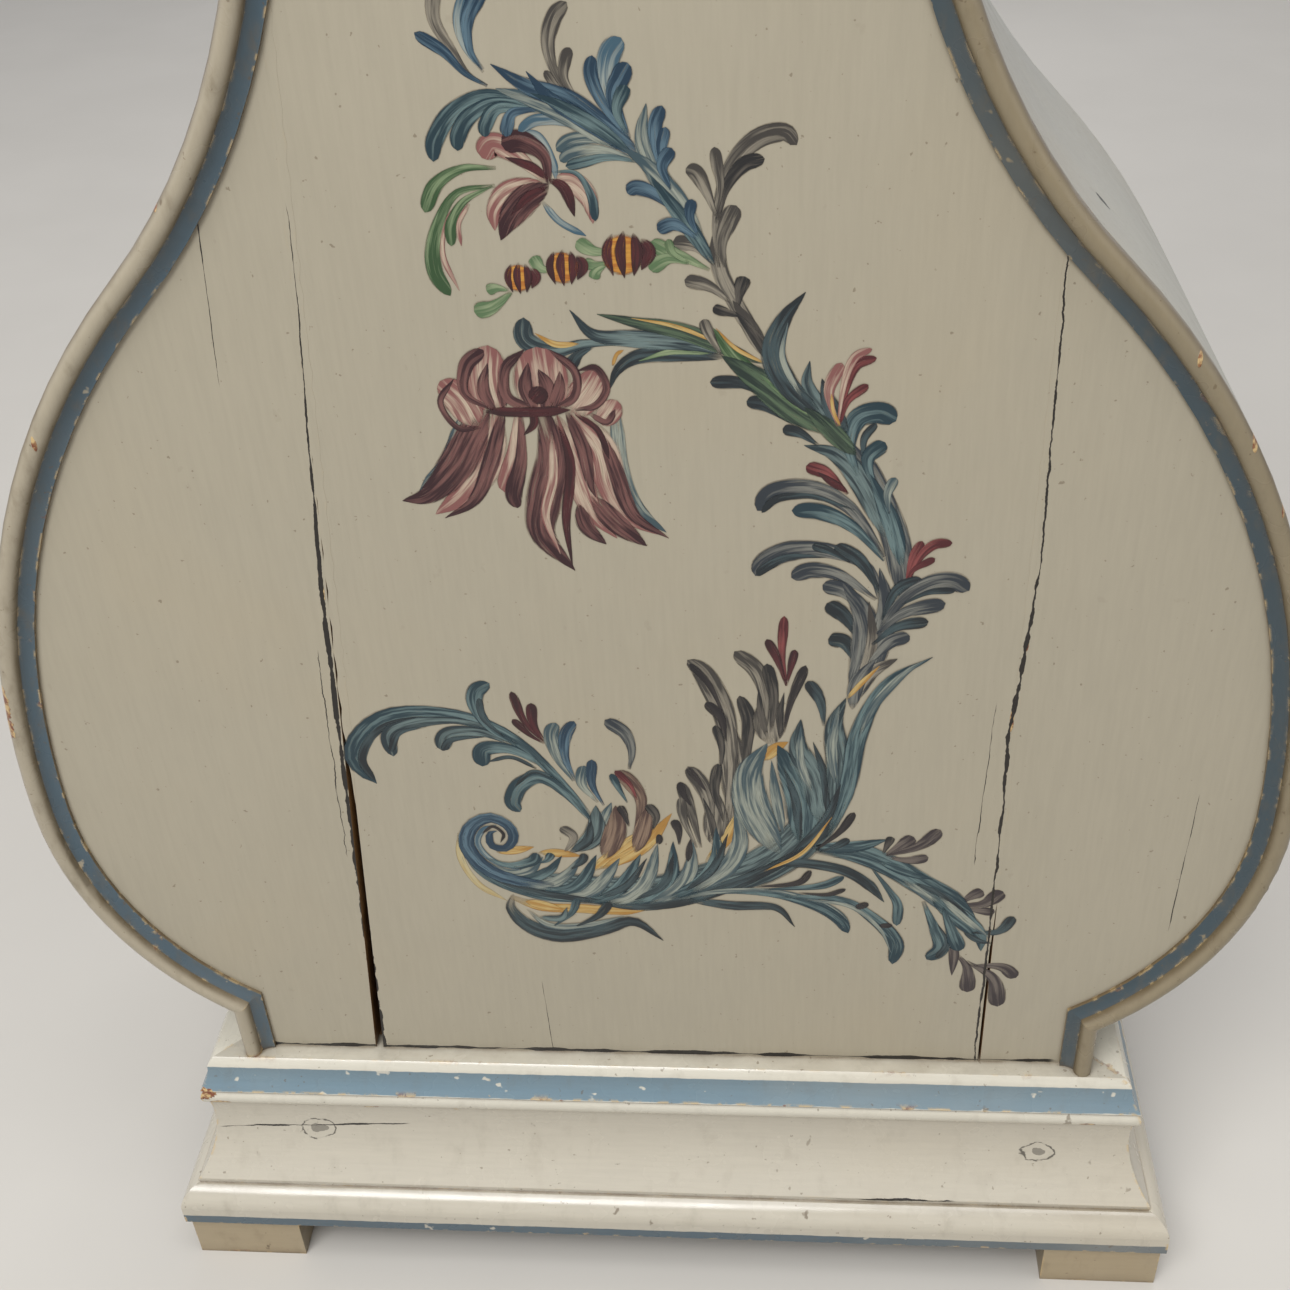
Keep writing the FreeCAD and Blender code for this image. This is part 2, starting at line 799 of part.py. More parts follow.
def moulding_section(edge_x, bulge, front, height):
    """The section laid flat at a height, with its outer edge at edge_x."""
    section = MOULDING_FACE.copy()
    section.rotate(FreeCAD.Vector(0, 0, 0), FreeCAD.Vector(1, 0, 0), 180)
    if bulge > 0:
        section = section.mirror(FreeCAD.Vector(0, 0, 0), FreeCAD.Vector(1, 0, 0))
    section.translate(FreeCAD.Vector(float(edge_x), float(front), float(height)))
    return section


def moulding_arc(centre, radius, bulge, start, end, front):
    """The moulding swept round an arc of the outline."""
    first, last = min(start, end), max(start, end)
    section = moulding_section(centre.x + float(radius), bulge, front, centre.y)
    axis_point = FreeCAD.Vector(centre.x, 0, centre.y)
    axis = FreeCAD.Vector(0, -1, 0)
    section.rotate(axis_point, axis, math.degrees(first))
    return section.revolve(axis_point, axis, math.degrees(last - first))


def edge_moulding():
    """The right-hand moulding of the trunk, with a short tip of its own at the neck moulding."""
    width = float(S.edge_moulding_width)
    reach = float(S.belly_half_width)
    outer = FreeCAD.Vector(float(S.leg_half_width), 0, corner_z)
    inner_x = float(S.leg_half_width) - width
    inner_drop = (float(S.low_arc_radius) - width) ** 2 - (inner_x - low_centre.x) ** 2
    inner = FreeCAD.Vector(inner_x, 0, low_centre.y - math.sqrt(inner_drop))
    along = (inner - outer).normalize() * reach
    up = FreeCAD.Vector(0, 0, reach)
    mitre = Part.Face(Part.makePolygon([
        outer - along, inner + along, inner + along + up, outer - along + up, outer - along
    ]))
    mitre.translate(FreeCAD.Vector(0, -reach, 0))
    above = mitre.extrude(FreeCAD.Vector(0, 2 * reach, 0))
    leg_rise = inner.z - float(plinth_top) + width
    leg = moulding_section(S.leg_half_width, 1, panel_y, plinth_top).extrude(FreeCAD.Vector(0, 0, leg_rise))
    tip_foot = float(neck_foot) - width
    heights = [corner_z] + list(arc_limits(0)) + [tip_foot]
    sweeps = []
    for index, (centre, radius, bulge) in enumerate(ARCS):
        start = arc_angle(index, heights[index], 0)
        end = arc_angle(index, heights[index + 1], 0)
        if index == 0:
            start -= width / float(radius)
        sweep = moulding_arc(centre, radius, bulge, start, end, panel_y)
        sweeps.append(sweep.common(above) if index == 0 else sweep)
    centre, radius, bulge = ARCS[-1]
    tip_start = arc_angle(len(ARCS) - 1, tip_foot, 0)
    tip_end = arc_angle(len(ARCS) - 1, float(neck_foot) + width, 0)
    tip = moulding_arc(centre, radius, bulge, tip_start, tip_end, panel_y)
    neck_room = Part.makeBox(2 * reach, 2 * reach, reach, FreeCAD.Vector(-reach, -reach, float(neck_foot)))
    return Part.makeCompound([leg.cut(above), joined(sweeps).fuse(tip.cut(neck_room))])


right_moulding = edge_moulding()
keep("edge_moulding_right", solid("edge_moulding_right", right_moulding))
keep("edge_moulding_left", solid("edge_moulding_left", mirrored(right_moulding)))


# Back board, which reaches up behind the hood
hood_inner = S.hood_half_width - S.hood_side_board
back_half = hood_inner - S.moving_gap
back_edges = []
for turn in (lambda geometry: geometry, flipped):
    back_edges += turn(lines([
        point(0, plinth_top),
        point(inner_leg, plinth_top),
        point(inner_leg, corner_z),
        point(half_width(corner_z, S.side_board), corner_z),
    ]))
    back_edges += turn(outline_path(corner_z, S.trunk_top, S.side_board))
    back_edges += turn(lines([
        point(top_half, S.trunk_top),
        point(back_half, S.trunk_top),
        point(back_half, S.dial_height),
    ]))
back_edges.append(arc(point(0, S.dial_height), back_half, 0, math.pi))
keep("backboard", board("backboard", back_edges, back_board_y, S.back_board))


# Moulding round the top of the trunk, which carries the hood
def swelling(foot, head, height, foot_reach, head_reach, wood, fillet):
    """A hollow that spreads from foot_reach to head_reach, with a square fillet on top."""
    start = point(foot_reach, foot)
    end = point(head_reach, head - fillet)
    section = lines([end, point(head_reach, head), point(-wood, head), point(-wood, foot), start])
    section.append(bow(start, end, -(height / 5)))
    return section


envelope_edges = outline_path(neck_height, S.trunk_top)
envelope_edges += flipped(envelope_edges)
envelope_edges += lines([
    point(-half_width(neck_height), neck_height), point(half_width(neck_height), neck_height)
])
envelope_edges += lines([
    point(-half_width(S.trunk_top), S.trunk_top), point(half_width(S.trunk_top), S.trunk_top)
])
trunk_envelope = upright_prism(envelope_edges, panel_y, S.case_depth)
neck_profile = swelling(
    neck_foot, S.trunk_top, S.neck_moulding_height, S.neck_moulding_foot,
    S.neck_moulding_projection, S.side_board, S.neck_moulding_fillet
)
neck_front, neck_side = mitred(
    neck_profile, half_width(S.trunk_top), panel_y, wall_y, S.neck_moulding_projection, S.side_board
)
neck_lengths = [length.cut(trunk_envelope) for length in (neck_front, neck_side, mirrored(neck_side))]
keep("neck_moulding", solid("neck_moulding", Part.makeCompound(neck_lengths)))


# Cheeks and the seat of the movement
cheek_inner = S.cheek_outer - S.cheek_board
cheek_front = panel_back_y + S.moving_gap
seat_front_y = panel_back_y + S.seat_setback
seat_foot = S.seat_top - S.seat_board
cheek_back = back_board_y - S.moving_gap
cheeks = [
    block("right_cheek", (cheek_inner, cheek_front, S.cheek_foot), (S.cheek_outer, cheek_back, seat_foot)),
    block("left_cheek", (-S.cheek_outer, cheek_front, S.cheek_foot), (-cheek_inner, cheek_back, seat_foot)),
]
keep("cheeks", together("cheeks", cheeks))

front_plate_y = panel_y + S.front_plate_setback
train_y = front_plate_y + S.plate_thickness
back_plate_y = train_y + S.plate_spacing
cock_y = back_plate_y + S.plate_thickness
barrel_y = train_y + S.barrel_layer
line_y = barrel_y + S.barrel_length / 2
line_x = S.barrel_radius + S.line_radius + S.running_gap
weight_x = S.pulley_radius - line_x
seat_low = (-S.cheek_outer, seat_front_y, seat_foot)
seat_high = (S.cheek_outer, cock_y + S.plate_thickness, S.seat_top)
line_hole = rod("line_hole", "z", (-line_x, line_y, seat_foot), S.line_hole_radius, S.seat_board)
keep("seat_board", cut("seat_board", block("seat_blank", seat_low, seat_high), line_hole))


# Trunk door
door_middle = (S.door_foot + S.door_head) / 2
escutcheon_half = S.escutcheon_width / 2
key_x = S.door_panel_margin + S.door_panel_band + S.escutcheon_margin + escutcheon_half - S.door_half_width
door_edges = lines([
    point(-S.door_half_width, S.door_foot),
    point(S.door_half_width, S.door_foot),
    point(S.door_half_width, S.door_head),
    point(-S.door_half_width, S.door_head),
], closed=True)
door_edges.append(circle(point(key_x, door_middle), S.key_hole_radius))
door_blank = board("door_blank", door_edges, panel_y, S.front_board)


def frame(half, foot, head, margin, band):
    """The edges of a rectangular frame that stands margin inside a panel."""
    edges = []
    for inset in (margin, margin + band):
        edges += lines([
            point(-(half - inset), foot + inset),
            point(half - inset, foot + inset),
            point(half - inset, head - inset),
            point(-(half - inset), head - inset),
        ], closed=True)
    return edges


door_frame_edges = frame(
    S.door_half_width, S.door_foot, S.door_head, S.door_panel_margin, S.door_panel_band
)
door_frame_front = panel_y - S.door_panel_rise
door_frame = board("door_frame", door_frame_edges, door_frame_front, S.door_panel_rise)
keep("trunk_door", fused("trunk_door", [door_blank, door_frame]))


# Hinges of the trunk door
hinge_x = S.door_half_width + S.door_gap / 2
hinge_y = panel_y - S.hinge_axis_rise
leaf_y = panel_y - S.hinge_leaf
knuckle = S.hinge_height / 3
fixed_hinges = []
moving_hinges = []
for hinge_foot in (S.door_foot + S.hinge_inset, S.door_head - S.hinge_inset - S.hinge_height):
    hinge_top = hinge_foot + S.hinge_height
    middle_foot = hinge_foot + knuckle
    middle_top = middle_foot + knuckle
    fixed_low = (hinge_x, leaf_y, hinge_foot)
    fixed_high = (opening_half + S.hinge_width, panel_y, hinge_top)
    pin = rod("hinge_pin", "z", (hinge_x, hinge_y, hinge_foot), S.hinge_pin_radius, S.hinge_height)
    moving_room_low = (hinge_x - S.hinge_width, hinge_y - S.hinge_axis_rise, middle_foot)
    moving_room_high = (hinge_x + S.hinge_knuckle_radius + S.moving_gap, panel_y, middle_top)
    fixed_barrel = rod(
        "fixed_barrel", "z", (hinge_x, hinge_y, hinge_foot), S.hinge_knuckle_radius, S.hinge_height
    )
    fixed_part = fused("fixed_leaf", [block("fixed_plate", fixed_low, fixed_high), fixed_barrel])
    fixed_part = cut("fixed_notched", fixed_part, block("moving_room", moving_room_low, moving_room_high))
    fixed_hinges.append(fused("fixed_hinge", [fixed_part, pin]))
    moving_low = (S.door_half_width - S.hinge_width, leaf_y, middle_foot + S.moving_gap)
    moving_high = (hinge_x, panel_y, middle_top - S.moving_gap)
    moving_knuckle = rod(
        "moving_knuckle", "z", (hinge_x, hinge_y, middle_foot + S.moving_gap),
        S.hinge_knuckle_radius, knuckle - 2 * S.moving_gap
    )
    moving_part = fused("moving_leaf", [block("moving_plate", moving_low, moving_high), moving_knuckle])
    pin_room = rod(
        "pin_room", "z", (hinge_x, hinge_y, hinge_foot), S.hinge_pin_radius + S.running_gap, S.hinge_height
    )
    moving_hinges.append(cut("moving_hinge", moving_part, pin_room))
keep("door_hinge_fixed", together("door_hinge_fixed", fixed_hinges))
keep("door_hinge_moving", together("door_hinge_moving", moving_hinges))


# Rim lock, bolt, key and escutcheon
lock_left = -(S.door_half_width - S.lock_edge)
lock_right = key_x + S.lock_key_room
lock_foot = door_middle - S.lock_height / 2
lock_top = lock_foot + S.lock_height
lock_back_y = panel_back_y + S.lock_depth
bolt_y = panel_back_y + S.moving_gap
bolt_foot = door_middle + S.key_bit - S.key_radius + S.moving_gap
lock_shell = block("lock_shell", (lock_left, panel_back_y, lock_foot), (lock_right, lock_back_y, lock_top))
lock_hollow = block(
    "lock_hollow", (lock_left + S.lock_wall, panel_back_y, lock_foot + S.lock_wall),
    (lock_right - S.lock_wall, lock_back_y - S.lock_wall, lock_top - S.lock_wall)
)
bolt_way_y = bolt_y + S.bolt_thickness + S.moving_gap
bolt_way_top = bolt_foot + S.bolt_height + S.moving_gap
bolt_way = block(
    "bolt_way", (lock_left, panel_back_y, bolt_foot - S.moving_gap),
    (lock_left + S.lock_wall, bolt_way_y, bolt_way_top)
)
keep("lock_case", cut("lock_case", cut("lock_open", lock_shell, lock_hollow), bolt_way))
bolt_left = lock_left + S.moving_gap
keep("lock_bolt", block(
    "lock_bolt", (bolt_left, bolt_y, bolt_foot),
    (bolt_left + S.bolt_length, bolt_y + S.bolt_thickness, bolt_foot + S.bolt_height)
))

key_tip_y = panel_back_y + S.key_tail
key_front_y = panel_y - S.key_reach
bit_back_y = key_tip_y - S.running_gap
key_shank = rod("key_shank", "y", (key_x, key_front_y, door_middle), S.key_radius, key_tip_y - key_front_y)
key_bit = block(
    "key_bit", (key_x - S.key_bit_thickness / 2, bit_back_y - S.key_bit_width, door_middle - S.key_bit),
    (key_x + S.key_bit_thickness / 2, bit_back_y, door_middle)
)
key_bow = ring(
    "key_bow", "x", (key_x, key_front_y - S.key_bow_radius, door_middle), S.key_bow_radius, S.key_bow_bar
)
keep("door_key", fused("door_key", [key_shank, key_bit, key_bow]))

escutcheon_rise = S.escutcheon_height / 2 - escutcheon_half
escutcheon_middle = point(key_x, door_middle)
upper_middle = point(key_x, door_middle + escutcheon_rise)
lower_middle = point(key_x, door_middle - escutcheon_rise)
escutcheon_edges = [
    arc(upper_middle, escutcheon_half, 0, math.pi),
    arc(lower_middle, escutcheon_half, math.pi, 2 * math.pi),
    circle(escutcheon_middle, S.key_hole_radius),
]
for side in (-1, 1):
    escutcheon_edges += lines([
        point(key_x + side * escutcheon_half, door_middle - escutcheon_rise),
        point(key_x + side * escutcheon_half, door_middle + escutcheon_rise),
    ])
escutcheon_y = panel_y - S.escutcheon_thickness
keep("escutcheon", board("escutcheon", escutcheon_edges, escutcheon_y, S.escutcheon_thickness))


# Hood
hood_foot = S.trunk_top + S.moving_gap
hood_base_top = hood_foot + S.hood_base_height
hood_inside_y = hood_y + S.hood_front_board
hood_base_profile = [
    *lines([
        point(S.hood_base_step - S.hood_base_projection, hood_base_top),
        point(-S.hood_side_board, hood_base_top),
        point(-S.hood_side_board, hood_foot),
        point(S.hood_base_projection, hood_foot),
        point(S.hood_base_projection, hood_foot + S.hood_base_step),
    ]),
    bow(
        point(S.hood_base_projection, hood_foot + S.hood_base_step),
        point(S.hood_base_step - S.hood_base_projection, hood_base_top), -S.hood_base_step / 2
    ),
]
hood_base_front, hood_base_side = mitred(
    hood_base_profile, S.hood_half_width, hood_y, wall_y, S.hood_base_projection, S.hood_side_board
)
hood_base_lengths = [hood_base_front, hood_base_side, mirrored(hood_base_side)]
keep("hood_base_moulding", solid("hood_base_moulding", Part.makeCompound(hood_base_lengths)))

dial_middle = point(0, S.dial_height)
hood_front_edges = lines([
    point(-S.hood_half_width, S.dial_height),
    point(-S.hood_half_width, hood_base_top),
    point(S.hood_half_width, hood_base_top),
    point(S.hood_half_width, S.dial_height),
])
hood_front_edges.append(arc(dial_middle, S.hood_half_width, 0, math.pi))
hood_front_edges.append(circle(dial_middle, S.hood_opening_radius))
keep("hood_front", board("hood_front", hood_front_edges, hood_y, S.hood_front_board))

hood_sides = [
    block(
        "right_hood_side", (hood_inner, hood_inside_y, hood_base_top),
        (S.hood_half_width, wall_y, S.dial_height)
    ),
    block(
        "left_hood_side", (-S.hood_half_width, hood_inside_y, hood_base_top),
        (-hood_inner, wall_y, S.dial_height)
    ),
]
keep("hood_sides", together("hood_sides", hood_sides))
canopy_inner = S.hood_half_width - S.canopy_board
canopy_edges = [
    arc(dial_middle, S.hood_half_width, 0, math.pi),
    arc(dial_middle, canopy_inner, 0, math.pi),
]
for side in (-1, 1):
    canopy_edges += lines([
        point(side * S.hood_half_width, S.dial_height), point(side * canopy_inner, S.dial_height)
    ])
keep("hood_canopy", board("hood_canopy", canopy_edges, hood_inside_y, wall_y - hood_inside_y))

hood_jamb = moulding_section(S.hood_half_width, 1, hood_y, hood_base_top)
hood_jamb = hood_jamb.extrude(FreeCAD.Vector(0, 0, float(S.dial_height - hood_base_top)))
hood_arch = moulding_arc(dial_middle, S.hood_half_width, 1, 0, math.pi, hood_y)
hood_moulding = hood_arch.fuse([hood_jamb, mirrored(hood_jamb)]).removeSplitter()
keep("hood_arch_moulding", solid("hood_arch_moulding", hood_moulding))


# Carved crest on the arch
CREST_SHARES = (
    # across, up, and how far the scroll towards the next point bows out
    (1.00, 0.10, -0.16),
    (0.66, 0.40, 0.12),
    (0.50, 0.66, -0.18),
    (0.20, 0.78, 0.10),
    (0.00, 1.00, 0.0),
)
crest_angle = math.acos(float(S.crest_half_width) / float(S.hood_half_width))
crest_low = polar(dial_middle, S.hood_half_width, crest_angle)
crest_foot = float(S.dial_height) + float(S.hood_half_width)
crest_points = []
for across_share, up_share, bow_share in CREST_SHARES:
    start_share = across_share * float(S.crest_half_width)
    crest_points.append(point(start_share, crest_foot + up_share * float(S.crest_height)))
crest_side = lines([crest_low, crest_points[0]])
for start, end, shares in zip(crest_points, crest_points[1:], CREST_SHARES):
    crest_side.append(bow(start, end, shares[2] * (end - start).Length))
crest_edges = crest_side + flipped(crest_side)
crest_edges.append(arc(dial_middle, S.hood_half_width, crest_angle, math.pi - crest_angle))
crest_front = hood_y + S.moving_gap
keep("crest", board("crest", crest_edges, crest_front, S.crest_board))


# Round glazed door
bezel_y = hood_y - S.moving_gap - S.bezel_depth
glass_y = bezel_y + S.bezel_lip
middle_z = S.dial_height
rabbet_radius = S.bezel_inner_radius + S.glass_lap
bezel_axis_x = S.bezel_outer_radius + S.bezel_axis_offset
bezel_axis_y = bezel_y + S.bezel_depth / 2
bezel_knuckle = S.bezel_hinge_height / 3
bezel_blank = rod("bezel_blank", "y", (0.0, bezel_y, middle_z), S.bezel_outer_radius, S.bezel_depth)
bezel_sight = rod("bezel_sight", "y", (0.0, bezel_y, middle_z), S.bezel_inner_radius, S.bezel_depth)
bezel_rabbet = rod(
    "bezel_rabbet", "y", (0.0, glass_y, middle_z), rabbet_radius, S.bezel_depth - S.bezel_lip
)
bezel_open = cut("bezel_open", cut("bezel_bored", bezel_blank, bezel_sight), bezel_rabbet)
arm_foot = middle_z - bezel_knuckle / 2 + S.moving_gap
arm_top = middle_z + bezel_knuckle / 2 - S.moving_gap
arm_half = S.bezel_knuckle_radius - S.bezel_pin_radius
bezel_arm = block(
    "bezel_arm", (bezel_axis_x - 2 * S.bezel_axis_offset, bezel_axis_y - arm_half, arm_foot),
    (bezel_axis_x, bezel_axis_y + arm_half, arm_top)
)
bezel_eye = rod(
    "bezel_eye", "z", (bezel_axis_x, bezel_axis_y, arm_foot), S.bezel_knuckle_radius, arm_top - arm_foot
)
bezel_hinge_foot = middle_z - S.bezel_hinge_height / 2
bezel_eye_room = rod(
    "bezel_eye_room", "z", (bezel_axis_x, bezel_axis_y, bezel_hinge_foot),
    S.bezel_pin_radius + S.running_gap, S.bezel_hinge_height
)
bezel_body = fused("bezel_body", [bezel_open, bezel_arm, bezel_eye])
keep("bezel_ring", cut("bezel_ring", bezel_body, bezel_eye_room))
glass_radius = rabbet_radius - S.running_gap
keep("bezel_glass", rod("bezel_glass", "y", (0.0, glass_y, middle_z), glass_radius, S.glass_thickness))

bezel_pin = rod(
    "bezel_pin", "z", (bezel_axis_x, bezel_axis_y, bezel_hinge_foot),
    S.bezel_pin_radius, S.bezel_hinge_height
)
bezel_parts = [bezel_pin]
for tab_foot in (bezel_hinge_foot, middle_z + bezel_knuckle / 2):
    bezel_parts.append(rod(
        "tab_knuckle", "z", (bezel_axis_x, bezel_axis_y, tab_foot), S.bezel_knuckle_radius, bezel_knuckle
    ))
    bezel_parts.append(block(
        "hinge_tab", (bezel_axis_x, bezel_axis_y - S.bezel_pin_radius, tab_foot),
        (bezel_axis_x + S.hinge_width, hood_y, tab_foot + bezel_knuckle)
    ))
keep("bezel_hinge", fused("bezel_hinge", bezel_parts))
knob_x = -(S.bezel_outer_radius + S.bezel_inner_radius) / 2
knob_neck = S.bezel_knob_length / 2
knob_stem = rod(
    "knob_stem", "y", (knob_x, bezel_y - knob_neck, middle_z), S.bezel_knob_radius / 2, knob_neck
)
knob_head = cone(
    "knob_head", "y", (knob_x, bezel_y - S.bezel_knob_length, middle_z), S.bezel_knob_radius / 2,
    S.bezel_knob_radius, knob_neck
)
keep("bezel_knob", fused("bezel_knob", [knob_stem, knob_head]))


# Places of the arbors
def gear_distance(wheel_teeth, pinion_teeth, module):
    """The distance between the arbors of a wheel and its pinion."""
    return (wheel_teeth + pinion_teeth) / 2 * module


barrel_drop = gear_distance(GREAT_TEETH, PINION_LEAVES, S.great_module)
third_reach = gear_distance(CENTRE_TEETH, PINION_LEAVES, S.centre_module)
escape_reach = gear_distance(THIRD_TEETH, PINION_LEAVES, S.third_module)
minute_reach = gear_distance(CANNON_TEETH, MINUTE_TEETH, S.cannon_module)
hour_module = minute_reach * 2 / (HOUR_TEETH + HOUR_PINION_LEAVES)
third_turn = math.radians(float(S.third_arbor_angle))
minute_turn = math.radians(float(S.minute_arbor_angle))
centre_at = dial_middle
barrel_z = S.dial_height - barrel_drop
barrel_at = point(0, barrel_z)
third_x = third_reach * math.cos(third_turn)
third_z = S.dial_height + third_reach * math.sin(third_turn)
third_at = point(third_x, third_z)
escape_rise = math.sqrt(float(escape_reach) ** 2 - float(third_x) ** 2)
escape_z = third_z + escape_rise
escape_at = point(0, escape_z)
pallet_radius = S.escape_radius + S.pallet_gap
anchor_z = escape_z + math.sqrt(2) * pallet_radius
minute_x = minute_reach * math.cos(minute_turn)
minute_z = S.dial_height + minute_reach * math.sin(minute_turn)
minute_at = point(minute_x, minute_z)

ADDENDUM_SHARE = 0.8
DEDENDUM_SHARE = 1.1
TIP_SHARE = 0.11
ROOT_SHARE = 0.29
SPOKE_SHARE = 0.22
RIM_SHARE = 4.4


def gear_face(teeth, module, at, phase):
    """A toothed disc with straight-flanked teeth, the first one pointing at phase."""
    tip = (teeth / 2 + ADDENDUM_SHARE) * float(module)
    root = (teeth / 2 - DEDENDUM_SHARE) * float(module)
    pitch = 2 * math.pi / teeth
    points = []
    for tooth in range(teeth):
        angle = phase + tooth * pitch
        for radius, share in ((root, -ROOT_SHARE), (tip, -TIP_SHARE), (tip, TIP_SHARE), (root, ROOT_SHARE)):
            points.append(polar(at, radius, angle + share * pitch))
    return Part.Face(Part.makePolygon(points + points[:1]))


def disc(at, radius):
    """A round face."""
    return Part.Face(Part.Wire([circle(at, radius).toShape()]))


def crossed(face, at, rim, hub):
    """A wheel's face with its crossings cut out between the hub and the rim."""
    spoke_half = SPOKE_SHARE * float(hub)
    hub_gap = math.asin(spoke_half / float(hub))
    rim_gap = math.asin(spoke_half / float(rim))
    for spoke in range(SPOKES):
        start = 2 * math.pi * spoke / SPOKES
        end = 2 * math.pi * (spoke + 1) / SPOKES
        window = [
            arc(at, rim, start + rim_gap, end - rim_gap),
            Part.LineSegment(polar(at, rim, end - rim_gap), polar(at, hub, end - hub_gap)),
            arc(at, hub, start + hub_gap, end - hub_gap),
            Part.LineSegment(polar(at, hub, start + hub_gap), polar(at, rim, start + rim_gap)),
        ]
        face = face.cut(face_of(window))
    return face


def slab(face, front, thickness):
    """An upright drawing's face made into a plate that runs back from front."""
    plate = upright(face)
    plate.translate(FreeCAD.Vector(0, float(front), 0))
    return plate.extrude(FreeCAD.Vector(0, float(thickness), 0))


def bar(at, radius, front, back):
    """A round bar between two planes."""
    place = FreeCAD.Vector(at.x, float(front), at.y)
    return Part.makeCylinder(float(radius), float(back) - float(front), place, FreeCAD.Vector(0, 1, 0))


def rim_of(teeth, module):
    """The radius inside a wheel's rim."""
    return (teeth / 2 - RIM_SHARE) * module


# Dial with its riveted feet
dial_y = hood_inside_y + S.dial_setback
dial_back_y = dial_y + S.dial_thickness
dial_hole_radius = S.hour_pipe_radius + S.cannon_pipe_radius / 2
dial_edges = [
    circle(dial_middle, S.dial_radius),
    circle(dial_middle, dial_hole_radius),
    circle(barrel_at, S.winding_hole_radius),
]
dial_parts = [board("dial_plate", dial_edges, dial_y, S.dial_thickness)]
for side_x in (-S.dial_foot_x, S.dial_foot_x):
    for side_z in (S.dial_height - S.dial_foot_z, S.dial_height + S.dial_foot_z):
        dial_parts.append(rod(
            "dial_foot", "y", (side_x, dial_back_y, side_z), S.dial_foot_radius, front_plate_y - dial_back_y
        ))
keep("dial", fused("dial", dial_parts))


# Plates and pillars of the movement
def plate(name, front, holes):
    """One plate of the movement, pierced for the arbors."""
    edges = lines([
        point(-S.plate_half_width, S.seat_top),
        point(S.plate_half_width, S.seat_top),
        point(S.plate_half_width, S.plate_top),
        point(-S.plate_half_width, S.plate_top),
    ], closed=True)
    for at, radius in holes:
        edges.append(circle(at, radius + S.running_gap))
    return board(name, edges, front, S.plate_thickness)


anchor_at = point(0, anchor_z)
shared_holes = [(third_at, S.pivot_radius), (escape_at, S.pivot_radius)]
front_holes = shared_holes + [
    (anchor_at, S.pivot_radius), (barrel_at, S.barrel_arbor_radius), (centre_at, S.centre_arbor_radius)
]
back_holes = shared_holes + [
    (anchor_at, S.arbor_radius), (barrel_at, S.arbor_radius), (centre_at, S.arbor_radius)
]
hour_front_y = front_plate_y - 3 * S.wheel_thickness
stud_front_y = hour_front_y - S.wheel_thickness
minute_stud = rod(
    "minute_stud", "y", (minute_x, stud_front_y, minute_z), S.arbor_radius, front_plate_y - stud_front_y
)
front_plate_body = plate("front_plate_body", front_plate_y, front_holes)
keep("front_plate", fused("front_plate", [front_plate_body, minute_stud]))
keep("back_plate", plate("back_plate", back_plate_y, back_holes))
pillars = []
for side_x in (S.pillar_margin - S.plate_half_width, S.plate_half_width - S.pillar_margin):
    for side_z in (S.seat_top + S.pillar_margin, S.plate_top - S.pillar_margin):
        pillars.append(rod("pillar", "y", (side_x, train_y, side_z), S.pillar_radius, S.plate_spacing))
keep("pillars", together("pillars", pillars))


# Barrel with its winding square, and the great wheel that turns on its arbor
barrel_back_y = barrel_y + S.barrel_length
great_y = barrel_back_y + S.moving_gap
great_back_y = great_y + S.great_wheel_thickness
square_y = dial_y - S.moving_gap
square_half = float(S.winding_square) / 2
square = Part.makeBox(
    2 * square_half, float(front_plate_y - square_y), 2 * square_half,
    FreeCAD.Vector(-square_half, float(square_y), float(barrel_z) - square_half)
)
square = square.common(bar(barrel_at, S.barrel_arbor_radius, square_y, front_plate_y))
barrel_parts = [
    square,
    bar(barrel_at, S.barrel_arbor_radius, front_plate_y, great_back_y + S.moving_gap),
    bar(barrel_at, S.arbor_radius, great_back_y, cock_y),
    bar(barrel_at, S.barrel_radius, barrel_y, barrel_back_y),
    bar(barrel_at, S.barrel_flange_radius, barrel_y, barrel_y + S.barrel_flange),
    bar(barrel_at, S.barrel_flange_radius, barrel_back_y - S.barrel_flange, barrel_back_y),
    bar(barrel_at, 2 * S.barrel_arbor_radius, great_back_y + S.moving_gap, back_plate_y - S.moving_gap),
]
keep("barrel", solid("barrel", joined(barrel_parts)))

up_turn = math.pi / 2
great_rim = rim_of(GREAT_TEETH, S.great_module)
great_face = crossed(
    gear_face(GREAT_TEETH, S.great_module, barrel_at, up_turn), barrel_at, great_rim,
    3 * S.barrel_arbor_radius
)
great_face = great_face.cut(disc(barrel_at, S.barrel_arbor_radius + S.running_gap))
keep("great_wheel", solid("great_wheel", slab(great_face, great_y, S.great_wheel_thickness)))


# Arbors of the train: each has a pinion, a wheel and two pivots
def train_arbor(label, at, radius, pinion, wheel):
    """One arbor of the train, from plate to plate."""
    pinion_face, pinion_y = pinion
    wheel_face, wheel_y = wheel
    parts = [
        bar(at, radius, train_y + S.moving_gap, back_plate_y - S.moving_gap),
        bar(at, S.pivot_radius, front_plate_y, cock_y),
        slab(pinion_face, pinion_y, S.pinion_length),
        slab(wheel_face, wheel_y, S.wheel_thickness),
    ]
    keep(label, solid(label, joined(parts)))


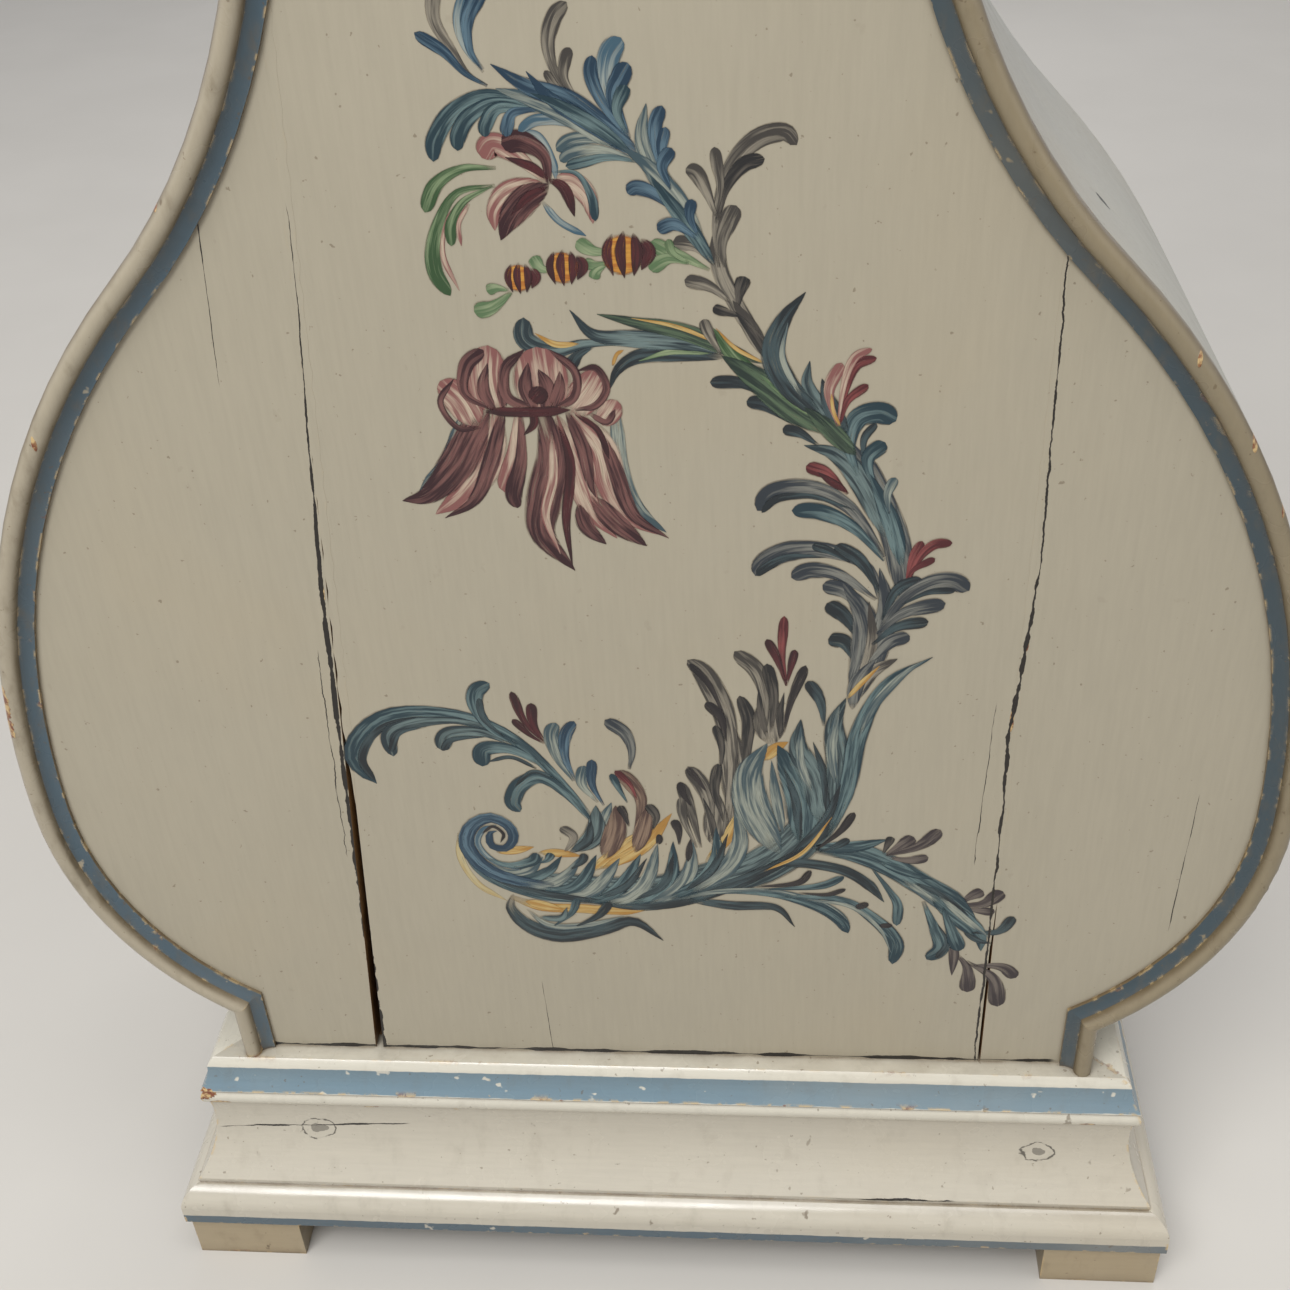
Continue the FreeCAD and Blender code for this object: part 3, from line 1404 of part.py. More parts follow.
half_pinion = math.pi / PINION_LEAVES
centre_phase = -up_turn + half_pinion
centre_y = train_y + S.centre_layer
great_mesh_y = great_y + S.great_wheel_thickness / 2 - S.pinion_length / 2
centre_pinion = gear_face(PINION_LEAVES, S.great_module, centre_at, centre_phase)
centre_face = crossed(
    gear_face(CENTRE_TEETH, S.centre_module, centre_at, third_turn), centre_at,
    rim_of(CENTRE_TEETH, S.centre_module), 2 * S.centre_arbor_radius
)
cannon_front_y = dial_y - 2 * S.hand_gap - 3 * S.hand_thickness
centre_parts = [
    bar(centre_at, S.centre_arbor_radius, cannon_front_y - S.hand_thickness, back_plate_y - S.moving_gap),
    bar(centre_at, S.arbor_radius, back_plate_y - S.moving_gap, cock_y),
    slab(centre_pinion, great_mesh_y, S.pinion_length),
    slab(centre_face, centre_y, S.wheel_thickness),
]
keep("centre_wheel", solid("centre_wheel", joined(centre_parts)))

third_y = train_y + S.third_layer
third_pinion = gear_face(PINION_LEAVES, S.centre_module, third_at, third_turn + math.pi + half_pinion)
escape_direction = math.atan2(escape_at.y - third_at.y, escape_at.x - third_at.x)
third_face = crossed(
    gear_face(THIRD_TEETH, S.third_module, third_at, escape_direction), third_at,
    rim_of(THIRD_TEETH, S.third_module), 3 * S.arbor_radius
)
centre_mesh_y = centre_y + S.wheel_thickness / 2 - S.pinion_length / 2
train_arbor("third_wheel", third_at, S.arbor_radius, (third_pinion, centre_mesh_y), (third_face, third_y))

ESCAPE_TOOTH_SHARES = ((1, 0.0), (1, 0.12), (0, 0.5), (0, 0.85))
escape_points = []
for tooth in range(ESCAPE_TEETH):
    for tip_share, turn_share in ESCAPE_TOOTH_SHARES:
        tooth_radius = float(S.escape_radius) - (1 - tip_share) * float(S.escape_tooth)
        tooth_angle = 2 * math.pi * (tooth + turn_share) / ESCAPE_TEETH
        escape_points.append(polar(escape_at, tooth_radius, tooth_angle))
escape_face = crossed(
    Part.Face(Part.makePolygon(escape_points + escape_points[:1])), escape_at,
    S.escape_radius - 2 * S.escape_tooth, 3 * S.arbor_radius
)
escape_y = train_y + S.escape_layer
escape_pinion = gear_face(
    PINION_LEAVES, S.third_module, escape_at, escape_direction + math.pi + half_pinion
)
third_mesh_y = third_y + S.wheel_thickness / 2 - S.pinion_length / 2
train_arbor(
    "escape_wheel", escape_at, S.arbor_radius, (escape_pinion, third_mesh_y), (escape_face, escape_y)
)


# Back cock, which carries the anchor's rear pivot and the pendulum
pendulum_y = cock_y + S.pendulum_setback
crutch_y = cock_y + S.plate_thickness
cock_plate_y = crutch_y + 4 * S.plate_thickness
cock_half = 4 * S.pillar_radius
cock_foot_low = anchor_z + 2 * S.plate_thickness
cock_foot_high = cock_foot_low + 3 * S.plate_thickness
cock_plate_low = (-cock_half, cock_plate_y, anchor_z - 2 * S.plate_thickness)
cock_plate_high = (cock_half, cock_plate_y + S.plate_thickness, cock_foot_high)
post_low_z = anchor_z + S.suspension_thickness * 4
post_half_y = S.suspension_width / 2 + S.plate_thickness / 2
post_half_x = 2 * S.plate_thickness
cock_parts = [block("cock_plate", cock_plate_low, cock_plate_high)]
for side in (-1, 1):
    inner_edge = side * (cock_half - 2 * S.plate_thickness)
    outer_edge = side * cock_half
    low_edge, high_edge = (inner_edge, outer_edge) if side > 0 else (outer_edge, inner_edge)
    cock_parts.append(block(
        "cock_leg", (low_edge, cock_y, cock_foot_low), (high_edge, cock_plate_y, cock_foot_high)
    ))
cock_parts.append(block(
    "suspension_post", (-post_half_x, cock_plate_y, post_low_z),
    (post_half_x, pendulum_y + post_half_y, cock_foot_high)
))
cock_solid = fused("cock_solid", cock_parts)
pivot_room = rod(
    "pivot_room", "y", (0.0, cock_plate_y, anchor_z), S.pivot_radius + S.running_gap, S.plate_thickness
)
slit_half = S.suspension_thickness / 2 + S.moving_gap
slit_low = (-slit_half, pendulum_y - S.suspension_width / 2 - S.moving_gap, post_low_z)
slit_high = (slit_half, pendulum_y + post_half_y, cock_foot_high - S.plate_thickness)
cock_bored = cut("cock_bored", cock_solid, pivot_room)
keep("back_cock", cut("back_cock", cock_bored, block("slit", slit_low, slit_high)))


# Anchor with its arbor and crutch
anchor_outer = pallet_radius + S.anchor_width
span = math.pi / 4 + float(S.anchor_width) / float(pallet_radius) / 2
span_low, span_high = up_turn - span, up_turn + span
anchor_edges = [
    arc(escape_at, pallet_radius, span_low, span_high),
    arc(escape_at, anchor_outer, span_low, span_high),
]
for angle in (span_low, span_high):
    pallet_end = polar(escape_at, pallet_radius, angle)
    anchor_edges.append(Part.LineSegment(pallet_end, polar(escape_at, anchor_outer, angle)))
neck_half = float(S.anchor_width)
neck_bottom = float(escape_z + pallet_radius) + neck_half / 2
anchor_neck = face_of(lines([
    point(-neck_half, neck_bottom), point(neck_half, neck_bottom),
    point(neck_half, anchor_z), point(-neck_half, anchor_z),
], closed=True))
crutch_half = float(S.pendulum_rod_radius)
crutch_low_z = anchor_z - S.crutch_length
fork_gap = S.pendulum_rod_radius + S.running_gap
fork_wall = S.plate_thickness
crutch_parts = [
    slab(face_of(anchor_edges), escape_y, S.wheel_thickness),
    slab(anchor_neck, escape_y, S.wheel_thickness),
    bar(anchor_at, S.anchor_width, escape_y, escape_y + S.wheel_thickness),
    bar(anchor_at, S.pivot_radius, front_plate_y, train_y + S.moving_gap),
    bar(anchor_at, S.arbor_radius, train_y + S.moving_gap, cock_plate_y - S.moving_gap),
    bar(anchor_at, S.pivot_radius, cock_plate_y - S.moving_gap, cock_plate_y + S.plate_thickness),
    Part.makeBox(
        2 * crutch_half, float(S.wheel_thickness), float(S.crutch_length),
        FreeCAD.Vector(-crutch_half, float(crutch_y), float(crutch_low_z))
    ),
]
for fork_x in (-fork_gap - fork_wall, fork_gap):
    crutch_parts.append(Part.makeBox(
        float(fork_wall), float(pendulum_y + S.pendulum_rod_radius - crutch_y), float(2 * fork_wall),
        FreeCAD.Vector(float(fork_x), float(crutch_y), float(crutch_low_z))
    ))
keep("anchor", solid("anchor", joined(crutch_parts)))


# Motion work and hands
cannon_y = front_plate_y - S.moving_gap - S.wheel_thickness
minute_gear_y = cannon_y
hour_y = hour_front_y - S.moving_gap
cannon_face = gear_face(CANNON_TEETH, S.cannon_module, centre_at, minute_turn)
cannon_solid = joined([
    slab(cannon_face, cannon_y, S.wheel_thickness),
    bar(centre_at, S.cannon_pipe_radius, cannon_front_y, cannon_y + S.wheel_thickness),
])
centre_room = bar(centre_at, S.centre_arbor_radius + S.running_gap, cannon_front_y, front_plate_y)
keep("cannon_wheel", solid("cannon_wheel", cannon_solid.cut(centre_room)))

away_turn = minute_turn + math.pi
minute_face = crossed(
    gear_face(MINUTE_TEETH, S.cannon_module, minute_at, away_turn + math.pi / MINUTE_TEETH), minute_at,
    rim_of(MINUTE_TEETH, S.cannon_module), HOUR_PINION_LEAVES / 2 * hour_module
)
minute_pinion = gear_face(HOUR_PINION_LEAVES, hour_module, minute_at, away_turn)
minute_solid = joined([
    slab(minute_face, minute_gear_y, S.wheel_thickness),
    slab(minute_pinion, stud_front_y + S.moving_gap, minute_gear_y - stud_front_y - S.moving_gap),
])
stud_room = bar(minute_at, S.arbor_radius + S.running_gap, stud_front_y, front_plate_y)
keep("minute_wheel", solid("minute_wheel", minute_solid.cut(stud_room)))

hour_face = crossed(
    gear_face(HOUR_TEETH, hour_module, centre_at, minute_turn + math.pi / HOUR_TEETH), centre_at,
    rim_of(HOUR_TEETH, hour_module), 2 * S.hour_pipe_radius
)
hour_hand_y = dial_y - S.hand_gap - S.hand_thickness
minute_hand_y = hour_hand_y - S.hand_gap - S.hand_thickness
hour_solid = joined([
    slab(hour_face, hour_y, S.wheel_thickness),
    bar(centre_at, S.hour_pipe_radius, hour_hand_y - S.hand_thickness, hour_y + S.wheel_thickness),
])
cannon_room = bar(centre_at, S.cannon_pipe_radius + S.running_gap, minute_hand_y, front_plate_y)
keep("hour_wheel", solid("hour_wheel", hour_solid.cut(cannon_room)))

HAND_BLADE_SHARES = (
    # share of the length, share of the hub's radius
    (0.00, 0.42), (0.34, 0.26), (0.58, 0.20), (0.78, 0.34), (1.00, 0.04),
)
HAND_LOOP_SHARE = 0.46
HAND_LOOP_RADIUS_SHARE = 0.85
HAND_LOOP_BORE_SHARE = 0.50


def hand(label, length, front, bore, angle):
    """A pierced hand with a round hub, a loop and a leaf-shaped tip, turned clockwise by angle."""
    hub = float(S.hand_hub_radius)
    right = [point(width * hub, S.dial_height + share * length) for share, width in HAND_BLADE_SHARES]
    left = [point(-corner.x, corner.y) for corner in reversed(right)]
    blade = face_of(lines(right + left, closed=True))
    loop_at = point(0, S.dial_height + HAND_LOOP_SHARE * length)
    loop = disc(loop_at, HAND_LOOP_RADIUS_SHARE * hub)
    eye = disc(loop_at, HAND_LOOP_BORE_SHARE * hub)
    outline = disc(centre_at, hub).fuse([blade, loop]).removeSplitter().cut(eye).cut(disc(centre_at, bore))
    shape = slab(outline, front, S.hand_thickness)
    axis_point = FreeCAD.Vector(0, 0, float(S.dial_height))
    shape.rotate(axis_point, FreeCAD.Vector(0, 1, 0), angle)
    keep(label, solid(label, shape))


MINUTES_SHOWN = 9
HOURS_SHOWN = 10
minute_hand_angle = 360 * MINUTES_SHOWN / 60
hour_hand_angle = 360 * (HOURS_SHOWN + MINUTES_SHOWN / 60) / 12
hour_bore = S.hour_pipe_radius + S.running_gap / 5
minute_bore = S.cannon_pipe_radius + S.running_gap / 5
hand("hour_hand", S.hour_hand_length, hour_hand_y, hour_bore, hour_hand_angle)
hand("minute_hand", S.minute_hand_length, minute_hand_y, minute_bore, minute_hand_angle)


# Pendulum
bob_z = anchor_z - S.pendulum_length
nut_top = bob_z - S.bob_radius
nut_foot = nut_top - S.rating_nut_height
rod_foot = nut_foot - 2 * S.rating_nut_height
spring_foot = anchor_z - S.suspension_length
spring_top = anchor_z + S.suspension_width / 2
suspension = block(
    "suspension", (-S.suspension_thickness / 2, pendulum_y - S.suspension_width / 2, spring_foot),
    (S.suspension_thickness / 2, pendulum_y + S.suspension_width / 2, spring_top)
)
pendulum_bar = rod(
    "pendulum_bar", "z", (0.0, pendulum_y, rod_foot), S.pendulum_rod_radius,
    spring_foot + S.suspension_width - rod_foot
)
keep("pendulum_rod", fused("pendulum_rod", [suspension, pendulum_bar]))

half_bob = S.bob_thickness / 2
bob_edge = S.bob_thickness / 16
bob_boss = 2 * S.pendulum_rod_radius
bob_sag = half_bob / 6
bob_profile = lines([
    point(bob_boss, half_bob), point(0, half_bob), point(0, -half_bob), point(bob_boss, -half_bob)
])
bob_profile.append(bow(point(bob_boss, -half_bob), point(S.bob_radius, -bob_edge), -bob_sag))
bob_profile.append(Part.LineSegment(point(S.bob_radius, -bob_edge), point(S.bob_radius, bob_edge)))
bob_profile.append(bow(point(S.bob_radius, bob_edge), point(bob_boss, half_bob), -bob_sag))
bob = face_of(bob_profile)
bob.translate(FreeCAD.Vector(0, float(pendulum_y), float(bob_z)))
bob = bob.revolve(FreeCAD.Vector(0, float(pendulum_y), float(bob_z)), FreeCAD.Vector(0, 1, 0), 360)
rod_room = Part.makeCylinder(
    float(S.pendulum_rod_radius + S.running_gap), float(2 * S.bob_radius),
    FreeCAD.Vector(0, float(pendulum_y), float(nut_top))
)
keep("pendulum_bob", solid("pendulum_bob", bob.cut(rod_room)))
nut_blank = rod("nut_blank", "z", (0.0, pendulum_y, nut_foot), S.rating_nut_radius, S.rating_nut_height)
nut_bore = rod(
    "nut_bore", "z", (0.0, pendulum_y, nut_foot), S.pendulum_rod_radius + S.running_gap, S.rating_nut_height
)
keep("rating_nut", cut("rating_nut", nut_blank, nut_bore))


# Weight, pulley and line, shown run down
weight_top = S.weight_foot + S.weight_height
pulley_z = weight_top + S.pulley_rise
strap = 2 * S.wheel_thickness
block_foot = pulley_z - S.pulley_radius - 3 * strap
weight_body = rod("weight_body", "z", (weight_x, line_y, S.weight_foot), S.weight_radius, S.weight_height)
weight_hook = rod(
    "weight_hook", "z", (weight_x, line_y, weight_top), S.pendulum_rod_radius, block_foot - weight_top
)
keep("weight", fused("weight", [weight_body, weight_hook]))

pulley_half = S.pulley_thickness / 2
block_parts = [block(
    "block_bridge", (weight_x - strap, line_y - pulley_half - strap, block_foot),
    (weight_x + strap, line_y + pulley_half + strap, block_foot + strap)
)]
for strap_y in (line_y - pulley_half - strap, line_y + pulley_half + S.moving_gap):
    block_parts.append(block(
        "block_strap", (weight_x - strap, strap_y, block_foot),
        (weight_x + strap, strap_y + strap - S.moving_gap, pulley_z + 2 * strap)
    ))
block_parts.append(rod(
    "block_axle", "y", (weight_x, line_y - pulley_half - strap, pulley_z), S.arbor_radius,
    2 * (pulley_half + strap)
))
keep("pulley_block", fused("pulley_block", block_parts))

groove_half = S.line_radius + S.moving_gap
groove_floor = S.pulley_radius - S.line_radius - S.moving_gap
flange_radius = S.pulley_radius + 2 * S.line_radius
pulley_parts = [rod(
    "pulley_core", "y", (weight_x, line_y - pulley_half, pulley_z), groove_floor, S.pulley_thickness
)]
for flange_y in (line_y - pulley_half, line_y + groove_half):
    pulley_parts.append(rod(
        "pulley_flange", "y", (weight_x, flange_y, pulley_z), flange_radius, pulley_half - groove_half
    ))
pulley_solid = fused("pulley_solid", pulley_parts)
axle_room = rod(
    "axle_room", "y", (weight_x, line_y - pulley_half, pulley_z), S.arbor_radius + S.running_gap,
    S.pulley_thickness
)
keep("line_pulley", cut("line_pulley", pulley_solid, axle_room))

drum_strand = rod(
    "drum_strand", "z", (-line_x, line_y, pulley_z), S.line_radius, barrel_z - pulley_z
)
seat_strand = rod(
    "seat_strand", "z", (weight_x + S.pulley_radius, line_y, pulley_z), S.line_radius, seat_foot - pulley_z
)
loop_section = disc(point(0, 0), S.line_radius)
loop_section.translate(FreeCAD.Vector(-float(line_x), float(line_y), float(pulley_z)))
loop_centre = FreeCAD.Vector(float(weight_x), float(line_y), float(pulley_z))
line_loop = solid("line_loop", loop_section.revolve(loop_centre, FreeCAD.Vector(0, -1, 0), 180))
keep("weight_line", fused("weight_line", [drum_strand, line_loop, seat_strand]))


# Check every object, then write one file for each piece
doc.recompute()
for item in doc.Objects:
    for fault in ("Invalid", "Error"):
        if fault in item.State:
            raise RuntimeError(item.Name + " is " + fault)
for label, piece in PIECES.items():
    shape = piece.Shape
    if shape.isNull() or not shape.isValid() or not shape.Solids:
        raise RuntimeError(label + " has no valid solid")
for label, piece in PIECES.items():
    piece.Shape.exportStep("parts/" + label + ".step")
print(len(PIECES), "pieces written")
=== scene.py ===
# The looks of the longcase clock: aged oil paint, painted leaf work, carving, dial and brass.
# Metres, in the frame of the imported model. Ornament is laid out in millimetres on the front boards.
import math

import bpy
from mathutils import Matrix, Vector


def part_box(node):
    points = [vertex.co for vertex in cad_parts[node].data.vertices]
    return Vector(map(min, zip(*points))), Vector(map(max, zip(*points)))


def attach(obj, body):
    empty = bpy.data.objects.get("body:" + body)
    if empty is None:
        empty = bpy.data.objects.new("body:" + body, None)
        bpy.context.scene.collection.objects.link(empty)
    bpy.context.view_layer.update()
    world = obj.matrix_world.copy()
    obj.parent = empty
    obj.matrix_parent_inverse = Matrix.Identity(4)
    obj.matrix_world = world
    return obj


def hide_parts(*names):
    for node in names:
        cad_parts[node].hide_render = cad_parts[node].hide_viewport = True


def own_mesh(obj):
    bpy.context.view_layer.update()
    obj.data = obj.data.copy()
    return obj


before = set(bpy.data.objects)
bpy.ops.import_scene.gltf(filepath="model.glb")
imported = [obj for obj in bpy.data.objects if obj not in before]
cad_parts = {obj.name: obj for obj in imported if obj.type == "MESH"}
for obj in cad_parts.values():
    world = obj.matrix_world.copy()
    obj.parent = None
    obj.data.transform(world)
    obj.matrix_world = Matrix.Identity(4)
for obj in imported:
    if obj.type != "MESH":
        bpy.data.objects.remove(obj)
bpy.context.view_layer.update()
MM = 0.001

# Places read from the frame
panel_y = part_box("front_board_centre")[0].y
hood_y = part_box("hood_front")[0].y
crest_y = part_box("crest")[0].y
plinth_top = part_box("plinth_cap_front")[1].z
cap_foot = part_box("plinth_cap_front")[0].z
base_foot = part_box("base_moulding_front")[0].z
dial_low, dial_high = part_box("dial")
dial_middle = (dial_low + dial_high) / 2

# Colours as written in the picture's own colour space, from 0 to 255
PANEL = (167, 159, 140)
IVORY = (184, 178, 160)
IVORY_SIDE = (170, 168, 158)
PLINTH_IVORY = (192, 185, 169)
# The cap's ivory is a lighter copy of the plinth's: painted light on the cap.
CAP_IVORY_LIT = (206, 201, 186)
# The second bead colour is a darker copy of the first: painted shade for the right moulding.
BEAD_IVORY, BEAD_SHADED = (164, 154, 134), (134, 122, 98)
FOOT_IVORY = (164, 148, 120)
# The second blue is a darker copy of the first: painted shade for the right moulding.
BLUE, BLUE_SHADED = (66, 86, 98), (54, 70, 78)
# This lighter blue for the cap's band is a copy of the blue: painted light.
PLINTH_BLUE_LIT = (108, 131, 143)
# The dirt colour also stands for painted shade in corners and hollows.
DIRT_AND_SHADE = (92, 74, 50)
# The film colour also stands for painted shade on faces turned away from the front.
FILM_AND_SHADE = (100, 86, 62)
BARE_WOOD = (118, 64, 36)
PINE, PINE_DARK = (150, 112, 70), (108, 74, 42)
PRIMER = (196, 168, 118)
CRACK = (24, 18, 12)


def linear(colour):
    """A colour from 0 to 255 turned into the linear values that the shader takes."""
    shares = [value / 255 for value in colour]
    return [v / 12.92 if v <= 0.04045 else ((v + 0.055) / 1.055) ** 2.4 for v in shares] + [1.0]


class Graph:
    """One procedural material and short ways to add its nodes."""

    def __init__(self, name, roughness=0.5, metallic=0.0, coat=0.0):
        self.material = bpy.data.materials.new(name)
        self.material.use_nodes = True
        self.tree = self.material.node_tree
        self.shader = self.tree.nodes["Principled BSDF"]
        self.set("Roughness", roughness)
        self.set("Metallic", metallic)
        self.set("Coat Weight", coat)
        self.place = self.add("ShaderNodeTexCoord").outputs["Object"]
        self.x, self.y, self.z = self.axes(self.place)
        self.relief = None

    def add(self, kind, inputs=None, **settings):
        node = self.tree.nodes.new(kind)
        for name, value in settings.items():
            setattr(node, name, value)
        for name, value in (inputs or {}).items():
            self.feed(node.inputs[name], value)
        return node

    def feed(self, socket, value):
        if isinstance(value, bpy.types.NodeSocket):
            self.tree.links.new(value, socket)
        else:
            socket.default_value = value

    def set(self, name, value):
        self.feed(self.shader.inputs[name], value)

    def axes(self, vector):
        return self.add("ShaderNodeSeparateXYZ", {0: vector}).outputs

    def normal(self):
        return self.add("ShaderNodeNewGeometry").outputs["Normal"]

    def math(self, operation, first, second=0.0, third=0.0):
        inputs = {0: first, 1: second, 2: third}
        return self.add("ShaderNodeMath", inputs, operation=operation).outputs[0]

    def chain(self, operation, total, *others):
        for other in others:
            total = self.math(operation, total, other)
        return total

    def times(self, *values):
        return self.chain("MULTIPLY", *values)

    def plus(self, *values):
        return self.chain("ADD", *values)

    def minus(self, *values):
        return self.chain("SUBTRACT", *values)

    def line(self, value, slope, start):
        return self.math("MULTIPLY_ADD", value, slope, start)

    def swing(self, value, reach):
        """A value from 0 to 1 turned into one from -reach to reach."""
        return self.line(value, 2 * reach, -reach)

    def gap(self, axis, place, size=1.0):
        """The distance along an axis from a place, as a multiple of size, squared."""
        return self.math("POWER", self.math("DIVIDE", self.minus(axis, place), size), 2.0)

    def step(self, value, low, high, to_low=0.0, to_high=1.0):
        """to_low below low, to_high above high and a smooth passage between."""
        inputs = {"Value": value, "From Min": low, "From Max": high, "To Min": to_low, "To Max": to_high}
        return self.add("ShaderNodeMapRange", inputs, interpolation_type="SMOOTHSTEP").outputs[0]

    def band(self, value, low, high, edge):
        """1 between low and high, with soft edges."""
        rise = self.step(value, low - edge, low + edge)
        fall = self.step(value, high - edge, high + edge)
        return self.times(rise, self.minus(1.0, fall))

    def noise(self, scale, detail, stretch=(1, 1, 1), shift=0.0, roughness=0.6):
        moved = self.add("ShaderNodeMapping", {"Vector": self.place, "Scale": stretch})
        moved.inputs["Location"].default_value = (shift, shift, shift)
        inputs = {"Vector": moved.outputs[0], "Scale": scale, "Detail": detail, "Roughness": roughness}
        return self.add("ShaderNodeTexNoise", inputs).outputs[0]

    def patches(self, scale, detail, low, high, to_low=0.0, to_high=1.0, stretch=(1, 1, 1), shift=0.0):
        """Noise cut into patches."""
        return self.step(self.noise(scale, detail, stretch, shift), low, high, to_low, to_high)

    def mix(self, share, first, second):
        """From the first colour to the second, each a socket or values from 0 to 255."""
        node = self.add("ShaderNodeMix", data_type="RGBA")
        self.feed(node.inputs[0], share)
        for socket, colour in ((node.inputs[6], first), (node.inputs[7], second)):
            self.feed(socket, linear(colour) if isinstance(colour, tuple) else colour)
        return node.outputs[2]

    def shade(self, colour, amount):
        """The colour with its value scaled by amount."""
        return self.add("ShaderNodeHueSaturation", {"Value": amount, "Color": colour}).outputs[0]

    def recess(self, distance):
        """1 in corners and hollows, 0 on open faces."""
        hollow = self.add("ShaderNodeAmbientOcclusion", {"Distance": distance}, samples=8).outputs["AO"]
        return self.step(hollow, 0.45, 0.95, 1.0, 0.0)

    def worn_edge(self, radius):
        """1 along edges."""
        soft = self.add("ShaderNodeBevel", {"Radius": radius}, samples=4).outputs[0]
        same = self.add("ShaderNodeVectorMath", {0: soft, 1: self.normal()}, operation="DOT_PRODUCT")
        return self.step(same.outputs["Value"], 0.85, 0.99, 1.0, 0.0)

    def bump(self, height, strength, distance=0.6 * MM):
        """A bump on top of those added before."""
        inputs = {"Height": height, "Strength": strength, "Distance": distance}
        if self.relief is not None:
            inputs["Normal"] = self.relief
        self.relief = self.add("ShaderNodeBump", inputs).outputs[0]
        self.set("Normal", self.relief)


# Oil paint with brush marks, dirt and painted shade in its corners, film and painted shade on faces turned from the
# front, worn edges and chips
def colour_bands(g, paint, bands, facing):
    """Bands of another colour, each with its axis, its two ends and its colour, rubbed through in places."""
    for axis, low, high, colour in bands:
        wavy = g.plus(g.z if axis == "z" else g.y, g.swing(g.noise(90, 2), 0.6 * MM))
        mask = g.band(wavy, low, high, 0.3 * MM)
        if axis == "y":
            mask = g.times(mask, g.step(facing, -0.7, -0.5, 1.0, 0.0))
        paint = g.mix(g.times(mask, g.patches(150, 3, 0.66, 0.70, 1.0, 0.1, (0.4, 1, 0.4), 6.0)), paint, colour)
    return paint


def chipped(g, chips, spots):
    """Flakes along the edges, and whole chips: x, height, half width and half height in mm."""
    flakes = g.times(g.worn_edge(5 * MM), g.patches(38, 4, chips, chips + 0.02, shift=5.0))
    for x, z, wide, high in spots:
        reach = g.plus(g.gap(g.x, x * MM, wide * MM), g.gap(g.z, z * MM, high * MM))
        reach = g.plus(reach, g.swing(g.noise(190, 3, shift=x), 1.2))
        flakes = g.math("MAXIMUM", flakes, g.step(reach, 0.85, 1.0, 1.0, 0.0))
    return flakes


def unpainted(g, normal, arch):
    """Backs and inner faces, which were never painted. Inside an arch they also face down."""
    outward = g.times(normal[0], g.x)
    if arch is not None:
        outward = g.plus(outward, g.times(normal[2], g.minus(g.z, arch)))
    inner = g.times(g.math("LESS_THAN", outward, -0.01), g.math("GREATER_THAN", normal[1], -0.5))
    return g.math("MAXIMUM", inner, g.math("GREATER_THAN", normal[1], 0.6))


def oil_paint(name, colour, grain=(1, 1, 0.08), bands=(), dirt_and_shade=0.55, wear=0.5, cracks=(), gloss=0.42, chips=0.66,
              film_and_shade=0.0, spots=(), coat=0.08, bare=False, arch=None):
    """Paint in layers: its colour and bands, yellowing, film with painted shade on turned faces, dirt with painted
    shade in corners, wear, chips, cracks and bare inner faces.
    """
    g = Graph(name, gloss, coat=coat)
    g.set("Coat Roughness", 0.2)
    normal = g.axes(g.normal())
    facing = normal[1]
    streaks = g.noise(420, 3, grain)
    marks = g.plus(g.times(streaks, 0.6), g.times(g.noise(7, 5), 0.4))
    flakes = chipped(g, chips, spots)
    paint = colour_bands(g, linear(colour), bands, facing)
    paint = g.shade(paint, g.step(marks, 0.25, 0.75, 0.955, 1.035))
    layers = [(g.patches(3.1, 4, 0.5, 0.8, 0.0, 0.35, shift=4.0), g.shade(g.mix(0.35, colour, PRIMER), 0.95))]
    if film_and_shade:
        # Faces turned away from the front darken towards the film colour: painted shade. The smears below are film.
        turned_shade = g.times(g.step(facing, -0.93, -0.35), g.patches(45, 5, 0.3, 0.7, 0.65, 1.0, shift=7.0), film_and_shade)
        smears = g.patches(90, 6, 0.5, 0.8, 0.0, 0.55 * film_and_shade, (1, 1, 0.5), 12.0)
        layers += [(turned_shade, FILM_AND_SHADE), (smears, FILM_AND_SHADE)]
    # Corners and hollows darken towards the dirt colour: dirt and painted shade.
    for reach, share in ((12 * MM, 0.4), (3 * MM, 1.0)):
        grime_and_shade = g.times(g.recess(reach), g.patches(55, 5, 0.3, 0.7, 0.35, 1.0, shift=reach), dirt_and_shade * share)
        layers.append((grime_and_shade, DIRT_AND_SHADE))
    bruises = g.patches(85, 3, 0.70, 0.74, 0.0, 0.75 * wear, (1, 1, 0.7), 15.0)
    specks = g.patches(260, 2, 0.70, 0.74, 0.0, 0.5, shift=9.0)
    rubbed = g.times(g.worn_edge(2.2 * MM), g.patches(120, 4, 0.52, 0.62, shift=2.0), wear)
    under_paint = g.mix(g.patches(300, 3, 0.4, 0.6), BARE_WOOD, PRIMER)
    layers += [(bruises, DIRT_AND_SHADE), (specks, DIRT_AND_SHADE), (rubbed, PRIMER), (flakes, under_paint)]
    layers += [(crack(g), CRACK) for crack in cracks]
    if bare:
        wood = g.mix(g.patches(38, 6, 0.35, 0.68, stretch=(1, 1, 0.06)), PINE, PINE_DARK)
        layers.append((unpainted(g, normal, arch), wood))
    for share, layer in layers:
        paint = g.mix(share, paint, layer)
    g.set("Base Color", paint)
    for height, strength in ((streaks, 0.10), (g.noise(1500, 2), 0.05), (flakes, 0.6)):
        g.bump(height, strength)
    g.set("Roughness", g.patches(30, 3, 0.3, 0.7, gloss - 0.07, gloss + 0.10))
    return g.material


# Cracks and other marks, each a function that adds its mask to a material
UPRIGHT, LEVEL = (0.02, 0.02, 1), (1, 0.02, 0.02)


